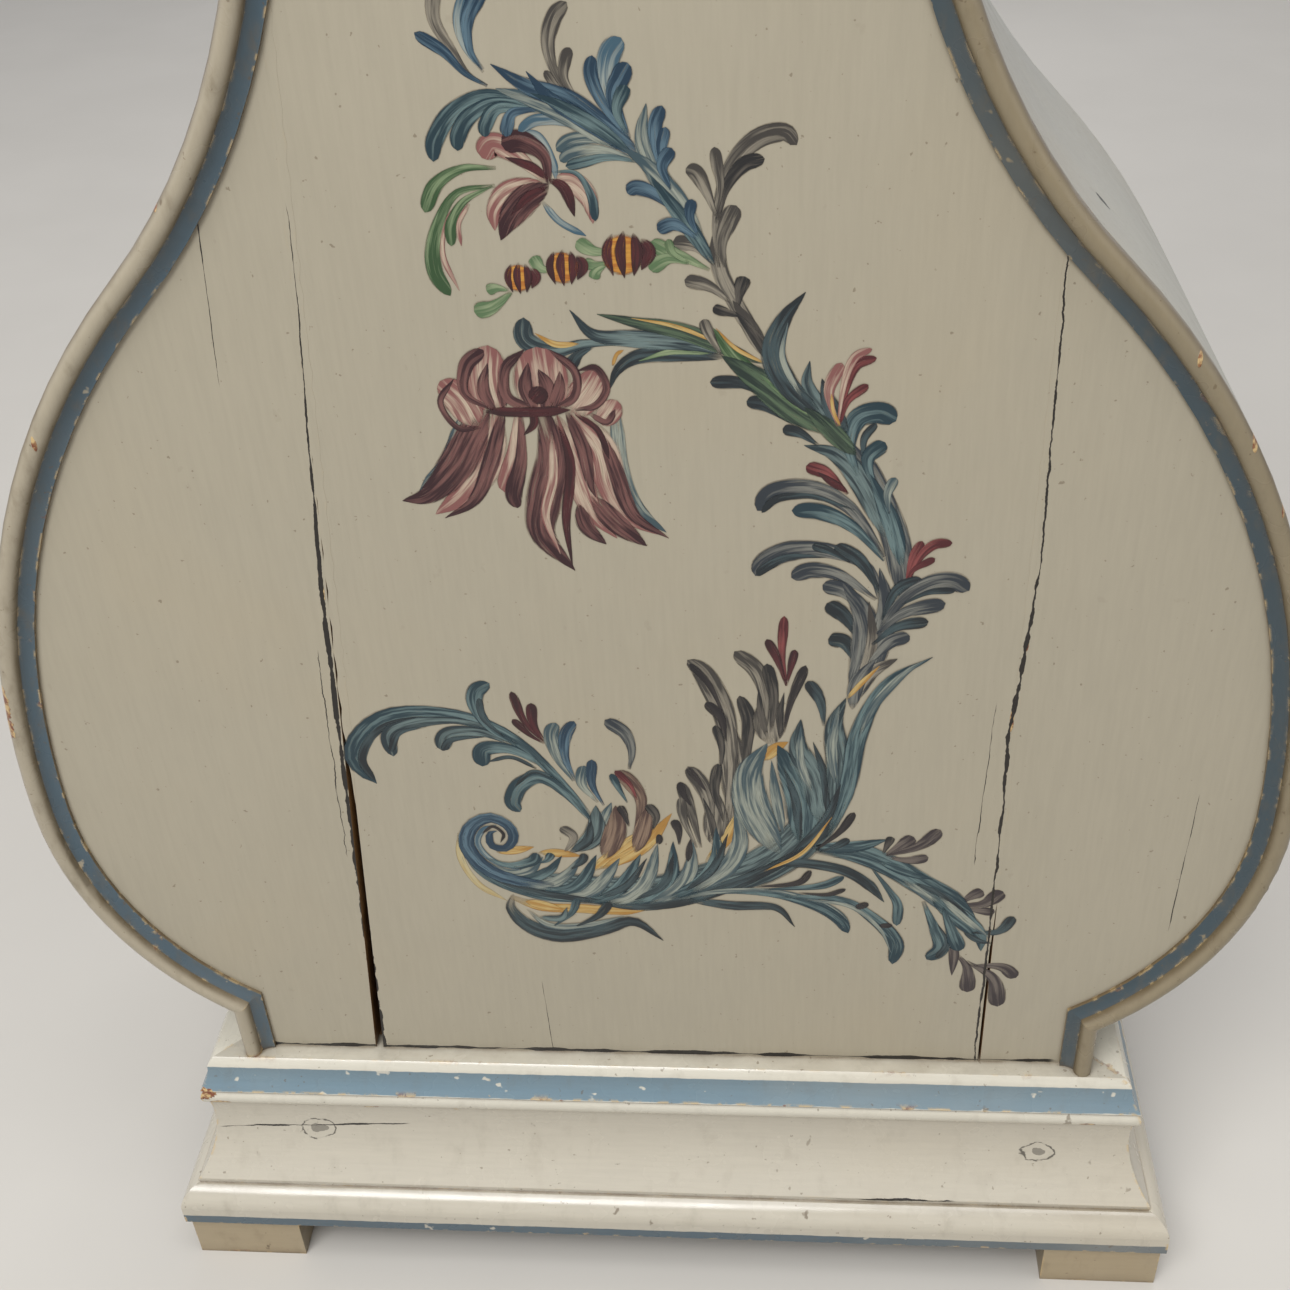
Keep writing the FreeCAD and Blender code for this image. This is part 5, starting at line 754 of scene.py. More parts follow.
ORNAMENT = {
    "ornament_grey_sprig": """
grey stem 7 60,587 50,605 44,620 43,638
grey club 8 44,620 43,638 48,658 58,670 69,673 74,668
grey_dark club 6.5 43,638 47,652 54,661 62,663
grey club 5 43,641 45,652 44,661 43,668
grey club 6.5 43,641 40,650 36,658 32,660
grey club 8 46,620 45,630 48,639 51,645
grey club 6.5 42,621 35,629 26,631
grey club 6.5 48,605 40,612 30,615
grey_dark club 6.5 51,603 52,610 54,616
grey_dark club 5 53,599 46,601 41,603
grey club 5.5 44,582 39,592 37,598
grey leaf 7 63,580 56,594 49,606
grey_dark leaf 5 64,578 58,590 50,601
""",
    "ornament_top_spray": """
grey club 6 -41,693 -48,698 -53,707 -58,717 -57,727 -54,736
blue club 5 -41,693 -49,698 -56,706 -66,713
blue_pale club 5 -42,698 -48,708 -49,717 -46,726
blue club 7 -42,699 -46,706 -46,716 -42,724 -37,731
grey club 6.5 -7,686 -15,697 -17,708 -14,717 -9,722
grey club 5 -7,686 -12,695 -11,702 -9,706
grey club 3.5 -8,687 -15,692 -19,698
blue_pale club 5 6,668 -10,678 -23,680 -31,676
teal_pale club 6 14,665 0,672 -11,672 -17,668
teal_pale club 5.5 13,664 0,668 -11,667 -16,664
sea club 5 14,663 2,665 -14,662
sea club 7.5 -20,684 -40,690 -54,685 -63,674 -65,665
sea club 7 -20,684 -38,687 -49,682 -54,675 -55,669
sea club 6 -20,683 -37,685 -43,679 -44,674
blue club 5.5 -22,684 -32,683 -35,678 -36,674
teal_pale leaf 9 6,668 -9,680 -23,687 -38,692
blue leaf 10 17,663 2,676 -12,687 -27,693 -39,701
blue leaf 7 9,668 -5,679 -18,688 -26,698
sea leaf 6 12,666 0,676 -14,685 -25,690
blue_pale club 9 10,674 4,690 5,702 10,709
blue club 6 11,672 2,685 -2,696 -1,703
blue club 8 11,672 6,687 9,695 12,700
sea club 6 10,674 7,683 11,692
teal_pale leaf 9 31,641 22,656 16,672 18,685
teal_pale leaf 8 38,632 27,650 18,661 8,669
blue club 6 24,656 21,668 21,677 24,684
blue club 5 24,656 23,667 25,676
blue club 6 26,652 23,661 27,668
blue club 6.5 29,642 20,650 13,653 9,651
sea leaf 7 42,621 33,636 24,649 18,658
blue club 6.5 36,632 27,638 20,636
blue club 5 36,633 33,641 34,648
""",
    "ornament_small_flower": """
blue_pale stem 3 -24,648 -18,640 -8,634
blue_pale stem 3.5 -34,674 -24,674 -19,664 -18,656
pink club 10 -22,656 -32,666 -41,671 -46,666
pink leaf 11 -22,655 -36,652 -43,645 -44,637
pink leaf 9 -20,656 -12,656 -6,649 -5,639
maroon club 9.5 -21,655 -22,666 -30,672 -38,671
wine leaf 4 -21,657 -27,662 -37,666
maroon leaf 12 -21,655 -31,649 -38,641 -42,633
wine leaf 4 -22,654 -30,650 -37,643
wine leaf 5 -21,657 -15,653 -12,642
sea club 4 -19,660 -10,659 -5,650 -4,640
pink stem 2.5 -50,652 -62,642 -66,628 -61,612
green club 6.5 -41,662 -54,662 -65,656 -71,645
green club 7 -42,655 -58,652 -68,636 -70,621 -65,610
green club 5 -43,655 -55,649 -61,640 -62,631
pink stem 2 -53,648 -58,640 -58,631
green_pale club 7 40,619 31,624 24,627 17,631
green_pale club 7 32,622 24,624 16,620
green club 4 33,622 26,626 24,632
green_pale club 6.5 2,627 -6,628 -12,632
green_pale club 5 0,623 -5,622 -10,623
green_pale club 5 -1,622 -5,619 -6,616
green_pale club 6 -22,620 -27,621 -30,626
green_pale club 5 -41,612 -46,613 -50,612
green_pale club 7.5 -40,611 -48,605 -56,603
""",
    "ornament_upper_branch": """
teal_dark club 6 -8,587 -15,583 -19,577
teal club 9 3,588 -12,588 -25,585 -36,590 -36,600
ochre leaf 3 -14,588 -24,588 -32,593
teal_dark leaf 8 46,581 28,583 10,582 1,576 -3,567
green_pale leaf 3 40,583 24,584 10,580
ochre stem 1.6 -1,578 1,583 4,585
teal leaf 9 48,583 30,588 8,590 -8,592 -17,603
green_teal leaf 8 61,578 44,586 28,593 10,597 -6,601
ochre leaf 2 44,587 26,595 8,599
green leaf 7 63,570 50,580 41,594
ochre leaf 2 62,578 50,585 42,594
teal_dark club 6.5 66,560 53,569 39,570
teal_dark club 7 74,550 62,559 54,561
teal_dark club 6 84,540 76,546 69,548
green_teal leaf 15 92,545 75,557 60,570 44,582
green_pale leaf 4 84,552 72,562 60,573
teal leaf 8 96,544 84,559 79,569 80,579
teal_dark leaf 11 86,552 71,568 65,583 69,597 78,609
teal_pale leaf 3 77,562 69,580 71,596
teal_dark leaf 8 96,545 89,558 85,571
green_teal leaf 9 100,535 88,548 78,558
pink club 6 92,549 88,565 93,578
red club 5 92,549 95,567 99,577 107,580
pink club 4 92,549 94,568 98,580 105,584
red club 4.5 93,550 96,561 104,568
ochre stem 1.5 93,549 90,556 89,564
""",
    "ornament_bell_flower": """
teal_pale stem 6 -66,556 -76,534 -90,518
teal_pale stem 7 -1,560 0,530 6,509 18,497
pink leaf 17 -52,560 -58,536 -70,518 -84,507
maroon leaf 17 -55,562 -64,545 -73,530 -86,517 -98,514
maroon leaf 8 -48,560 -57,532 -66,514 -80,505
pink club 10 -42,560 -46,536 -52,518
maroon club 8 -41,560 -43,536 -48,518 -47,510
pink leaf 15 -20,558 -8,540 -5,521 2,506 14,496
pink leaf 13 -26,556 -20,530 -14,508 -4,494
maroon leaf 17 -32,560 -29,536 -35,514 -37,496 -24,477
pink leaf 5 -29,548 -30,526 -35,506 -30,486
wine leaf 5 -26,556 -22,531 -26,504 -25,479
maroon leaf 7 -22,558 -16,540 -14,522 -12,515
maroon leaf 8 -20,512 -17,500 -9,491
maroon leaf 11 -14,516 -4,502 9,490
maroon leaf 8 -8,548 -2,526 4,506 19,494
wine stem 3 -18,556 -9,548 -5,534
wine leaf 4 -37,561 -36,552 -41,546
pink round 16 -61,551 -66,563 -74,572
maroon stem 3 -59,550 -69,550 -75,562 -68,573
pink round 11 -8,551 -4,556 0,562
maroon stem 3 -12,556 -5,552 -1,558
pink round 17 -20,556 -12,566 -6,576
maroon stem 3.5 -18,558 -9,560 -4,568 -8,577 -16,576
pink round 19 -52,557 -54,571 -52,588
maroon club 7 -52,558 -64,566 -62,579 -54,586
maroon leaf 6 -52,557 -56,568 -53,580
maroon leaf 5 -48,558 -48,568 -45,579
pink round 25 -32,556 -31,571 -32,587
maroon stem 5 -34,558 -46,564 -46,577 -37,586
maroon stem 4 -28,558 -18,564 -17,576 -27,586
maroon leaf 7 -34,557 -38,568 -36,580
maroon leaf 8 -31,557 -29,568 -32,577
maroon leaf 6 -28,558 -24,568 -23,576
wine round 9 -36,562 -33,565 -30,568
wine stem 5 -56,558 -38,557 -20,558
""",
    "ornament_middle_leaves": """
slate stem 13 124,462 118,494 107,521 95,543
teal leaf 12 116,492 104,520 92,535 78,540
sea club 11 101,525 97,540 100,552 109,555 116,551
teal_dark club 4 104,528 103,542 108,550
sea club 8 108,520 105,533 112,541
sea leaf 9 122,478 116,502 106,526
teal_pale club 5 115,506 114,516 117,524
red club 7 97,516 88,526 79,530
wine leaf 4 97,517 90,522 84,527
slate club 11 114,484 99,508 83,518 66,517 58,508
teal_dark club 4 100,508 82,515 67,514 60,507
sea club 9 114,482 100,499 86,507 73,508
slate club 11 114,458 107,478 90,487 72,487 61,481 57,474
teal_dark club 5 88,484 72,484 61,478 58,474
slate club 9 111,461 95,474 82,477 73,473
teal_dark club 8 113,464 104,481 92,490
teal_dark club 5 99,481 90,487 82,490
slate club 9 108,450 98,465 87,469
teal_dark club 9 105,438 97,452 89,459
teal_dark club 9 104,424 98,437 90,439
slate leaf 15 102,405 107,430 106,452 96,470
slate leaf 12 103,402 112,432 116,456 112,478
grey leaf 6 104,410 110,436 108,460
red club 5 124,469 126,482 130,492
red club 5.5 124,469 129,483 135,490 143,491
red club 4 124,470 127,477 136,483
teal_dark club 7 114,450 120,466 131,472
slate club 10 113,444 122,460 133,469 144,471 152,466
teal_dark club 4 122,458 134,465 146,466
slate club 8.5 112,442 124,454 142,459
teal_dark club 7 110,436 121,446 135,449
slate club 8 108,424 118,437 127,441
grey leaf 8 103,406 110,420 122,428
slate leaf 8 102,398 104,414 112,428
""",
    "ornament_left_branch": """
sea club 12 -24,310 -27,327 -41,352 -59,376 -78,389 -99,394 -121,392 -136,381 -143,365 -134,349
teal_dark club 5 -86,391 -110,391 -128,384 -139,366 -135,351
teal club 9 -70,385 -90,390 -110,388 -123,381 -123,367
teal_dark club 4 -104,386 -118,382 -124,370
teal club 10 -63,376 -79,383 -94,381 -98,371
teal_dark club 4 -76,380 -92,378 -98,371
sea club 10 -48,361 -63,372 -77,372 -79,361
teal_dark stem 2.5 -52,360 -64,367 -76,364
sea club 9 -60,375 -72,385 -78,398 -77,408 -70,413
teal_dark club 4 -66,380 -75,391 -76,404
wine club 5 -46,376 -55,389 -60,408
wine club 6 -46,376 -51,388 -51,401
wine club 4.5 -47,376 -54,382 -61,391
teal_pale club 8 -34,352 -41,367 -43,381 -40,389
blue club 7 -33,352 -37,367 -36,381 -31,390
teal_pale club 7 -23,338 -30,350 -28,362
blue club 6 -20,336 -25,350 -24,366
sea club 10 -25,322 -38,343 -50,354 -61,349 -66,338 -63,331
teal_dark stem 2.5 -42,353 -54,358 -64,348
teal_pale leaf 8 -24,308 -22,322 -16,338
teal leaf 12 -38,304 -26,316 -24,336
teal_dark leaf 6 -40,303 -30,312 -27,326
grey club 6.5 -42,304 -37,314 -43,321
slate club 8 -6,360 -4,372 -7,383 -16,391
""",
    "ornament_feathers": """
grey leaf 17 50,316 48,345 45,372 42,396
grey club 12 41,316 44,356 42,392 33,418 25,427
dark club 4 42,392 35,412 26,425
grey_dark club 7.5 50,342 52,374 53,392 49,406
dark club 6 42,378 40,392 33,402
grey_dark club 5 39,360 40,374 37,388
grey leaf 17 64,376 63,392 64,408
grey club 9 61,384 61,405 57,421 47,432
grey_dark club 7 64,384 65,405 62,425
dark club 5.5 70,384 73,402 80,424
grey_dark leaf 4 62,380 59,396 58,410
grey_dark leaf 3.5 68,380 68,394 70,408
red club 5 71,412 69,432 70,452
wine club 5 71,412 67,427 62,439
wine club 4.5 71,412 73,423 75,433
grey leaf 13 34,310 36,328 37,346
grey club 9 33,312 33,335 30,349 23,362
dark club 4 32,345 28,353 23,361
grey club 7 28,308 24,331 19,352
dark club 4.5 24,336 20,345 19,352
grey club 5.5 26,308 20,327 19,342
grey_dark club 6 40,326 36,347 38,364
grey_dark leaf 4 36,308 34,326 30,342
brown leaf 13 -22,299 -15,320 -14,336
brown club 9 -5,318 -1,338 -5,350 -12,359
red club 4 -3,340 -6,350 -13,359
sea club 4.5 -8,338 -12,348 -15,357
brown leaf 10 -6,304 -2,316 3,337
dark club 5 -8,322 -10,330 -12,336
grey_dark club 6 4,320 6,329 2,337
dark club 5.5 17,310 17,319 15,327
dark round 4 6,310 7,313 7,317
dark leaf 4 21,298 22,306 23,314
""",
    "ornament_right_branch": """
mauve club 9 162,233 168,222 169,204
mauve club 10 167,228 182,215 186,193
mauve club 8 171,225 186,224 194,216
mauve leaf 6 157,248 160,234 160,217
mauve club 7.5 161,271 166,276 172,280
mauve club 9 162,270 173,271 182,280
mauve club 6 163,268 170,266 179,265
sea stem 15 86,308 106,306 124,297 141,284 157,272 170,259
teal_pale leaf 7 130,288 148,272 164,256 174,240
sea leaf 13 146,276 160,262 172,248 174,236
teal_dark leaf 4 136,286 152,276 166,262
sea leaf 9 84,309 106,310 122,315
dark club 5 86,307 98,320 105,333
teal_dark club 5 84,308 90,318 94,327
teal_dark club 5 88,306 96,310 103,315
grey_dark club 5 120,305 122,311 124,317
mauve club 8 121,304 129,311 135,317
mauve club 8 122,304 138,311 148,322
mauve club 6.5 122,303 133,301 143,303
teal_dark stem 7 62,298 80,298 99,294 113,284 122,271
sea club 6 115,295 124,280 129,269 129,254
sea leaf 6 118,300 134,292 146,288
sea club 9.5 142,272 149,252 153,238 146,229
teal_dark club 4 150,256 156,242 151,230
sea club 9 152,268 158,250 163,236
teal_dark club 7 168,250 182,251 189,262
teal_pale leaf 5 150,276 166,258 178,246
teal_dark leaf 4 164,250 172,244 179,242
teal_pale club 9 16,271 36,277 62,277 84,270 98,260 104,248
sea club 7 40,277 66,275 86,268 99,258 104,248
sea club 9 66,274 98,273 116,260 129,242 128,225
teal_pale leaf 3 80,272 104,268 120,252 127,234
teal_dark leaf 7 18,271 44,267 66,266 76,252
dark club 4.5 56,281 77,284 84,293
sea club 5.5 60,279 88,282 101,289
dark club 3.5 78,277 92,276 102,280
dark round 5 107,267 110,268 114,270
dark round 4 120,254 123,254 127,254
""",
    "ornament_shell": """
straw stem 4 -96,316 -97,298 -90,280 -76,268
ochre stem 7 -74,271 -58,264 -38,263 -14,262 3,265
straw leaf 6 -5,262 12,270 30,273
ochre leaf 6 -78,303 -66,305 -58,307
ochre leaf 6 -56,303 -46,303 -34,301
ochre leaf 9 -30,290 -14,305 2,322
ochre leaf 9 -24,292 -2,308 14,331
ochre leaf 7 30,298 42,316 52,342
ochre leaf 7 60,366 66,374 72,378
ochre stem 4 20,271 50,284 76,304 94,330
teal stem 22 -74,286 -40,278 0,277 34,288 62,306
teal leaf 26 20,276 60,296 88,330 98,372
teal_dark leaf 9 -40,270 0,266 40,280 78,306 94,334
sea club 9 -30,269 -52,270 -72,278 -86,290 -93,306
teal_pale leaf 8 -86,296 -74,288 -62,290 -54,300
sea leaf 8 -80,288 -66,283 -52,290 -44,301
teal_pale leaf 8 -70,282 -54,280 -42,288 -34,301
sea leaf 9 -58,277 -44,276 -34,284 -26,302
teal_pale leaf 9 -46,272 -34,273 -24,283 -14,300
sea leaf 9 -36,269 -24,271 -13,282 -3,303
teal_pale leaf 9 -24,267 -10,272 0,286 6,310
sea leaf 9 -12,267 2,273 12,288 14,312
teal_pale leaf 10 0,268 14,277 22,292 24,312
teal_dark leaf 5 -30,270 -12,280 0,300
teal_dark leaf 5 -8,270 8,282 14,304
sea leaf 10 10,271 28,284 36,300 36,322
teal_pale leaf 11 22,276 40,292 48,312 46,336
teal_dark leaf 5 18,276 34,294 42,318
teal_pale leaf 20 68,304 55,334 53,358 62,377
sea leaf 21 80,310 80,342 72,364 67,376
teal_pale leaf 6 70,318 66,344 64,366
teal_dark leaf 5 78,312 76,340 70,362
teal leaf 15 90,322 85,354 77,374 78,392
teal_pale leaf 5 84,346 78,366 78,388
teal_dark leaf 5 92,330 90,356 84,378
teal leaf 14 96,332 97,364 94,388 99,405
teal_pale leaf 6 95,352 93,376 96,400
teal_dark club 7 89,388 87,403 81,415
sea leaf 10 92,314 101,349 106,385 118,414 138,429
teal_pale leaf 5 106,382 113,402 126,420 136,428
ochre leaf 3 99,404 106,414 114,424
teal_dark leaf 6 74,304 90,326 98,352
ochre leaf 2.5 60,292 80,306 94,330
teal_dark stem 4.5 -20,268 -56,274 -80,285 -94,303 -93,319 -84,328
blue spiral 10 -50,279 -72,284 -86,293 -93,308 -89,321 -79,327 -70,322 -68,313 -73,306 -80,308 -80,316 -76,318
blue_pale stem 3.5 -66,291 -80,297 -87,309 -83,319 -76,322
dark stem 2 -84,316 -78,321 -73,316 -75,310
sea club 7 -84,299 -72,294 -60,297 -57,303
sea club 5 -56,296 -52,298 -49,303
teal_dark club 5 -40,292 -34,297 -32,303
teal_dark leaf 12 -72,273 -74,262 -65,249 -49,243 -27,248 -9,254 6,240
teal_pale leaf 5 -66,262 -54,250 -34,251 -14,258
ochre leaf 7 -66,268 -56,265 -46,262
sea club 5 -52,250 -42,260 -38,271
teal_dark club 6 -40,250 -28,258 -21,268
teal leaf 5 -60,256 -48,256 -44,264
""",
}
BUDS = ((6.5, 626, 9.5), (-18, 621, 7.5), (-36, 617, 6.5))
BUD_CRESCENTS = ((0.75, 0.30, 0.42), (0.42, 0.12, 0.36), (0.02, -0.18, 0.34), (-0.45, -0.28, 0.30))


def read_strokes(table):
    """The strokes of a group, each as its paint, shape, width and places."""
    strokes = []
    for line in table.strip().splitlines():
        paint, shape, width, *places = line.split()
        strokes.append((paint, shape, float(width), *[tuple(map(float, place.split(","))) for place in places]))
    return strokes


def bud_strokes(x, z, size):
    """A round bud: an orange ball under dark red crescents, given by place, bulge and width."""
    strokes = [("orange", "round", 1.8 * size, (x - 0.95 * size, z), (x, z), (x + 0.8 * size, z))]
    for place, bulge, width in BUD_CRESCENTS:
        half = size * math.sqrt(1 - place ** 2) * 1.02
        ends = ((x + place * size, z + half), (x + (place + bulge) * size, z + 0.1 * size),
                (x + (place - 0.06) * size, z - half))
        strokes.append(("wine", "leaf", width * size * 1.5, *ends))
    return strokes


def profile(shape, t):
    """The half width of a stroke as a share of its widest place."""
    if shape == "club":
        body = 0.22 + 0.78 * min(1.0, t / 0.72) ** 1.2
        return body * math.sqrt(max(0.0, 1 - (max(0.0, t - 0.84) / 0.16) ** 2))
    if shape == "leaf":
        return math.sin(math.pi * t ** 0.85) ** 0.8
    if shape == "round":
        return math.sqrt(max(0.0, 1 - (2 * t - 1) ** 2))
    if shape == "spiral":
        return (0.55 + 0.45 * min(1.0, t / 0.25)) * (1 - 0.62 * max(0.0, t - 0.35) / 0.65) * min(1.0, (1 - t) / 0.04)
    return min(1.0, 0.35 + 3 * t, 5 * (1 - t)) ** 0.8


def brush_line(points, count):
    """Evenly drawn points on a smooth line through the given ones."""
    knots = [Vector(p) for p in points]
    knots = [2 * knots[0] - knots[1]] + knots + [2 * knots[-1] - knots[-2]]
    spans = len(knots) - 3
    line = []
    for index in range(count + 1):
        place = spans * index / count
        span = min(int(place), spans - 1)
        s = place - span
        a, b, c, d = knots[span:span + 4]
        line.append(0.5 * (2 * b + (c - a) * s + (2 * a - 5 * b + 4 * c - d) * s * s
                           + (3 * b - 3 * c + d - a) * s ** 3))
    return line


def sideways(line, row):
    """The unit vector across a line at one of its points."""
    ahead = (line[min(row + 1, len(line) - 1)] - line[max(row - 1, 0)]).normalized()
    return Vector((-ahead.y, ahead.x))


def brushwork(name):
    """Strokes of the brush: streaks along the stroke, a darker tip and edge, and thin paint at the root."""
    g = Graph(name, 0.36, coat=0.1)
    across, along = g.axes(g.add("ShaderNodeUVMap", uv_map="brush").outputs[0])[:2]
    t, side = g.axes(g.add("ShaderNodeUVMap", uv_map="share").outputs[0])[:2]
    light = g.add("ShaderNodeVertexColor", layer_name="light")
    dark = g.add("ShaderNodeVertexColor", layer_name="dark").outputs[0]
    chance = g.times(light.outputs["Alpha"], 90.0)

    def streaks(fine, long):
        where = g.add("ShaderNodeCombineXYZ", {0: g.times(across, fine), 1: g.times(along, long), 2: chance})
        return g.add("ShaderNodeTexNoise", {"Vector": where.outputs[0], "Scale": 1.0, "Detail": 3.0}).outputs[0]

    broad, hairs = streaks(0.55, 0.035), streaks(2.2, 0.08)
    off = g.math("ABSOLUTE", g.swing(side, 1.0))
    depth = g.plus(
        g.step(broad, 0.38, 0.60, 0.02, 0.80), g.line(hairs, 1.3, -0.58), g.step(t, 0.55, 0.98, 0.0, 0.5),
        g.step(side, 0.72, 0.98, 0.0, 0.4), g.step(off, 0.7, 0.95, 0.0, 0.12)
    )
    depth = g.add("ShaderNodeClamp", {"Value": depth}).outputs[0]
    g.set("Base Color", g.mix(depth, light.outputs[0], dark))
    edge = g.step(g.line(hairs, 0.3, g.minus(1.0, off)), 0.14, 0.34)
    root = g.step(g.plus(t, g.swing(broad, 0.25)), -0.02, 0.16, 0.15, 1.0)
    dry = g.step(g.line(hairs, 0.7, g.times(broad, 0.3)), 0.34, 0.44, 0.55, 1.0)
    whole = [g.minus(1.0, crack(g)) for crack in FRONT_SPLITS]
    g.set("Alpha", g.times(edge, root, dry, 0.95, *whole))
    g.bump(hairs, 0.12, 0.3 * MM)
    return g.material


def paint_strokes(name, strokes):
    """One mesh of ribbons that lie on the front boards, each a little proud of the one before."""
    rows, columns = 26, 7
    proud, layer_step, least_half = 0.10, 0.006, 0.12
    shape, brush, shares, lights, darks = Shape(), [], [], [], []
    grid = [row * columns + column for row in range(rows) for column in range(columns - 1)]
    faces = [(corner, corner + columns, corner + columns + 1, corner + 1) for corner in grid]
    for number, (paint, outline, width, *places) in enumerate(strokes):
        line = brush_line(places, rows)
        lengths = [0.0]
        for first, second in zip(line, line[1:]):
            lengths.append(lengths[-1] + (second - first).length)
        level = panel_y - (proud + layer_step * number) * MM
        chance = (number * 0.618 + len(name) * 0.37) % 1
        light, dark = (linear(colour) for colour in PAINTS[paint])
        points = []
        for row, here in enumerate(line):
            normal = sideways(line, row)
            t = lengths[row] / lengths[-1]
            half = max(least_half, profile(outline, t) * width / 2)
            for column in range(columns):
                off = 2 * column / (columns - 1) - 1
                x, z = here - normal * off * half
                points.append((x * MM, level, z * MM))
                brush.append((off * half + 40 * chance, lengths[row]))
                shares.append((t, (off + 1) / 2))
                lights.append(light[:3] + [chance])
                darks.append(dark)
        shape.add(points, faces)
    mesh = piece(name, shape, "brushwork", "case", smooth=True).data
    corners = [loop.vertex_index for loop in mesh.loops]
    for layer, values in (("brush", brush), ("share", shares)):
        target = mesh.uv_layers.new(name=layer)
        target.data.foreach_set("uv", [value for corner in corners for value in values[corner]])
    for layer, values in (("light", lights), ("dark", darks)):
        target = mesh.color_attributes.new(layer, "FLOAT_COLOR", "POINT")
        target.data.foreach_set("color", [part for value in values for part in value])


materials["brushwork"] = brushwork("brushwork_oil")
groups = {name: read_strokes(table) for name, table in ORNAMENT.items()}
groups["ornament_small_flower"] += [stroke for bud in BUDS for stroke in bud_strokes(*bud)]
for name, strokes in groups.items():
    paint_strokes(name, strokes)


# Carving on the crest: a fan of ribs, two scrolls and leaves, each as its shape, width and places in mm
FAN_RIBS, FAN_FOOT = range(-4, 5), 2040
CREST_SIDE = (
    ("spiral", 9, (12, 2034), (36, 2029), (60, 2029), (80, 2038), (84, 2049), (76, 2054), (70, 2048), (74, 2042)),
    ("club", 8, (40, 2034), (50, 2044), (54, 2056), (50, 2068)),
    ("club", 7, (54, 2034), (64, 2048), (66, 2062)),
    ("leaf", 7, (80, 2026), (92, 2024), (106, 2020)),
)


def fan_rib(number):
    lean, reach = math.radians(19 * number), 58 - 5.5 * abs(number)
    radii = [reach * share for share in (0.14, 0.45, 0.75, 1.0)]
    places = [(radius * math.sin(lean), FAN_FOOT + radius * math.cos(lean)) for radius in radii]
    return ("club", 13 - 0.6 * abs(number), *places)


def carve(name, strokes, front, rise, finish, body):
    """Rounded ribs, half sunk in the board behind them."""
    shape, rows, sides, least_half = Shape(), 28, 14, 0.25
    for outline, width, *places in strokes:
        line = brush_line(places, rows)
        points = []
        for row, here in enumerate(line):
            half = max(least_half, profile(outline, row / rows) * width / 2)
            height = min(rise, 0.9 * half)
            normal = sideways(line, row)
            points += ring(Vector((here.x * MM, front, here.y * MM)), Vector((normal.x, 0, normal.y)) * half * MM,
                           Vector((0, height * MM, 0)), sides)
        shape.add(points, skin(rows + 1, sides))
    return piece(name, shape, finish, body, smooth=True)


crest_work = [fan_rib(number) for number in FAN_RIBS] + [("round", 20, (-10, 2036), (0, 2036), (10, 2036))]
for outline, width, *places in CREST_SIDE:
    crest_work += [(outline, width, *places), (outline, width, *[(-x, z) for x, z in places])]
carve("crest_carving", crest_work, crest_y, 3.2, "ivory", "hood")

# The camera of the photograph
YAW, PITCH, ROLL = math.radians(5.956), math.radians(35.873), math.radians(3.4057)
CAMERA_PLACE = Vector((0.06814, -0.68408, 0.87165))
ahead = Vector((-math.sin(YAW) * math.cos(PITCH), math.cos(YAW) * math.cos(PITCH), -math.sin(PITCH)))
across = Vector((math.cos(YAW), math.sin(YAW), 0))
down = ahead.cross(across)
image_right = math.cos(ROLL) * across + math.sin(ROLL) * down
image_down = math.cos(ROLL) * down - math.sin(ROLL) * across
camera = bpy.data.objects.new("camera", bpy.data.cameras.new("camera"))
camera.data.lens = 44.73
camera.data.clip_start = 0.02
columns = (image_right, -image_down, -ahead, CAMERA_PLACE)
camera.matrix_world = Matrix([[column[row] for column in columns] for row in range(3)] + [[0, 0, 0, 1]])
bpy.context.scene.collection.objects.link(camera)
bpy.context.scene.camera = camera
bpy.context.scene.view_settings.view_transform = "Standard"

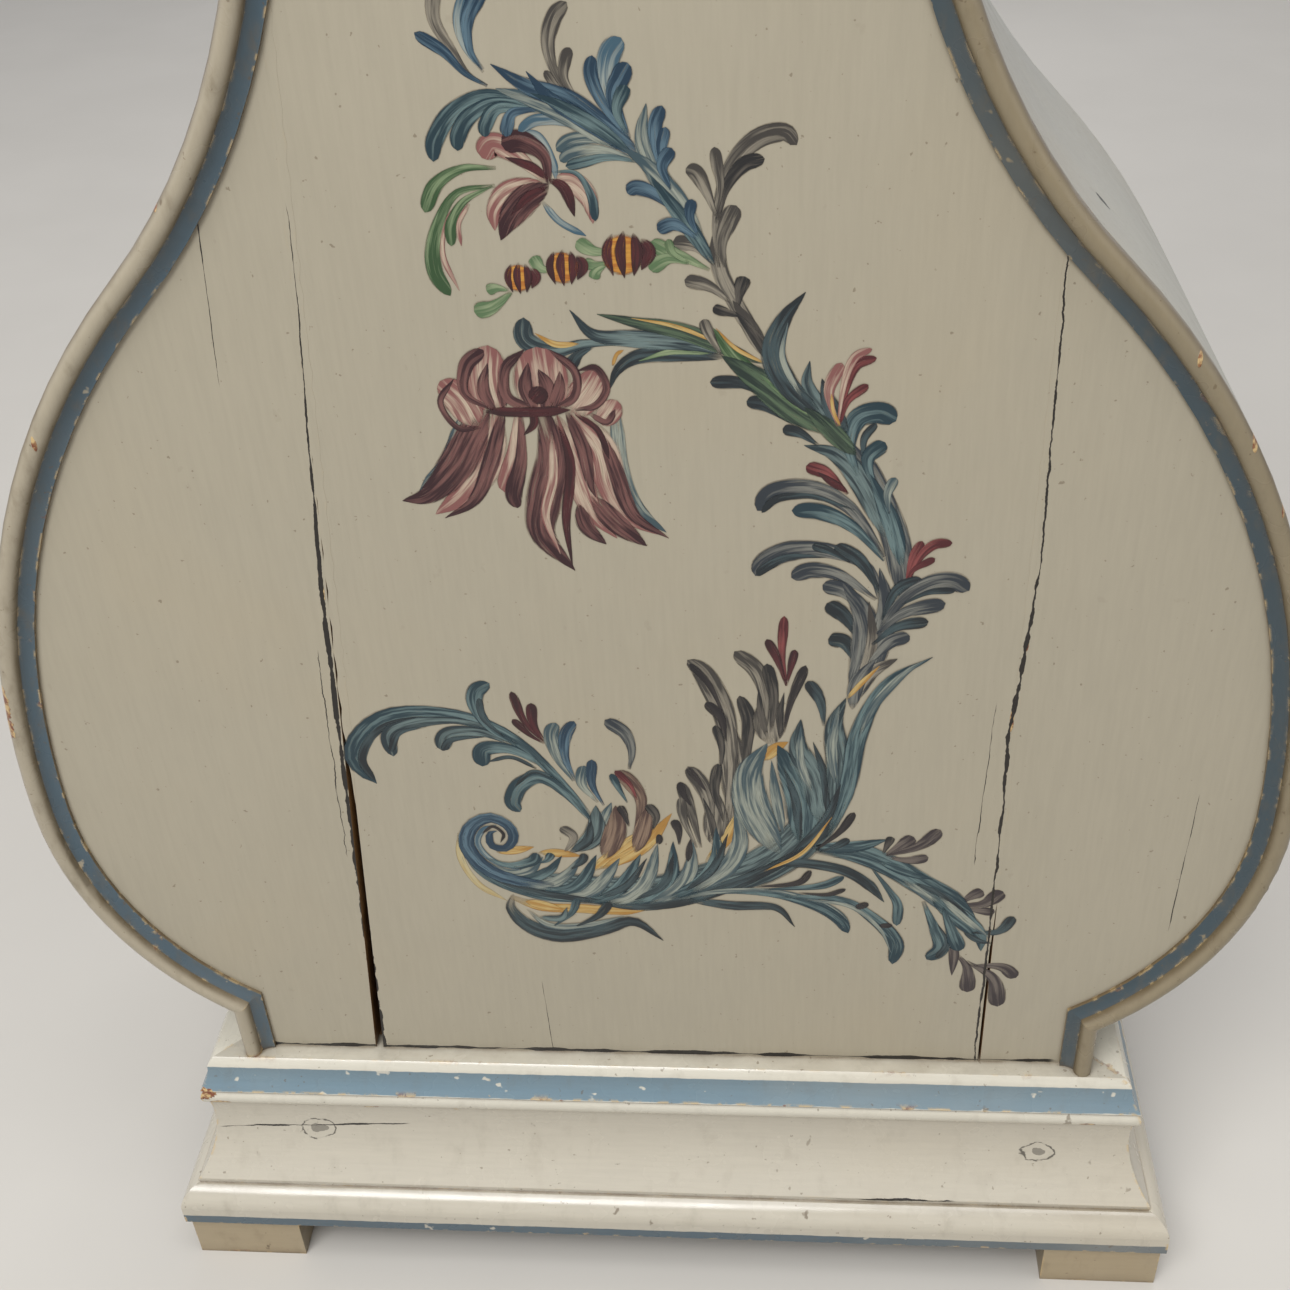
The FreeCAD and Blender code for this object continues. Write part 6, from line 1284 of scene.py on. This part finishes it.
# Floor, lamps and world
FLOOR_HALF = 9
corners = [(x * FLOOR_HALF, y * FLOOR_HALF, 0) for x, y in ((-1, -1), (1, -1), (1, 1), (-1, 1))]
floor_mesh = bpy.data.meshes.new("floor")
floor_mesh.from_pydata(corners, [], [(0, 1, 2, 3)])
floor_mesh.materials.append(studio_floor("studio_floor"))
floor = bpy.data.objects.new("floor", floor_mesh)
bpy.context.scene.collection.objects.link(floor)


def lamp(name, place, target, size, power):
    light = bpy.data.lights.new(name, "AREA")
    light.shape = "RECTANGLE"
    light.size, light.size_y = size
    light.energy = power
    made = bpy.data.objects.new(name, light)
    made.location = place
    made.rotation_euler = (Vector(target) - Vector(place)).to_track_quat("-Z", "Y").to_euler()
    bpy.context.scene.collection.objects.link(made)


lamp("key", (-0.9, -2.1, 3.2), (0, 0, 0.6), (2.2, 1.5), 106)
lamp("top", (0.3, -0.7, 3.9), (0, -0.1, 0.3), (2.6, 1.8), 58)
lamp("fill", (2.8, -1.7, 1.7), (0, 0, 0.7), (2.0, 2.0), 4)
lamp("back", (0.4, 3.0, 2.6), (0, 0, 1.2), (2.4, 1.6), 40)

# The backdrop is brighter to the camera, and in glass and gloss, than the light that it gives
WORLD_LIGHT, WORLD_SEEN = 0.28, 0.8
world = bpy.data.worlds.new("studio")
bpy.context.scene.world = world
world.use_nodes = True
world_nodes, links = world.node_tree.nodes, world.node_tree.links
light_path = world_nodes.new("ShaderNodeLightPath")
seen = light_path.outputs["Is Camera Ray"]
for ray in ("Is Glossy Ray", "Is Transmission Ray"):
    either = world_nodes.new("ShaderNodeMath")
    either.operation = "MAXIMUM"
    links.new(seen, either.inputs[0])
    links.new(light_path.outputs[ray], either.inputs[1])
    seen = either.outputs[0]
level = world_nodes.new("ShaderNodeMapRange")
level.inputs["To Min"].default_value = WORLD_LIGHT
level.inputs["To Max"].default_value = WORLD_SEEN
links.new(seen, level.inputs["Value"])
links.new(level.outputs[0], world_nodes["Background"].inputs["Strength"])
world_nodes["Background"].inputs["Color"].default_value = (0.95, 0.96, 1.0, 1)
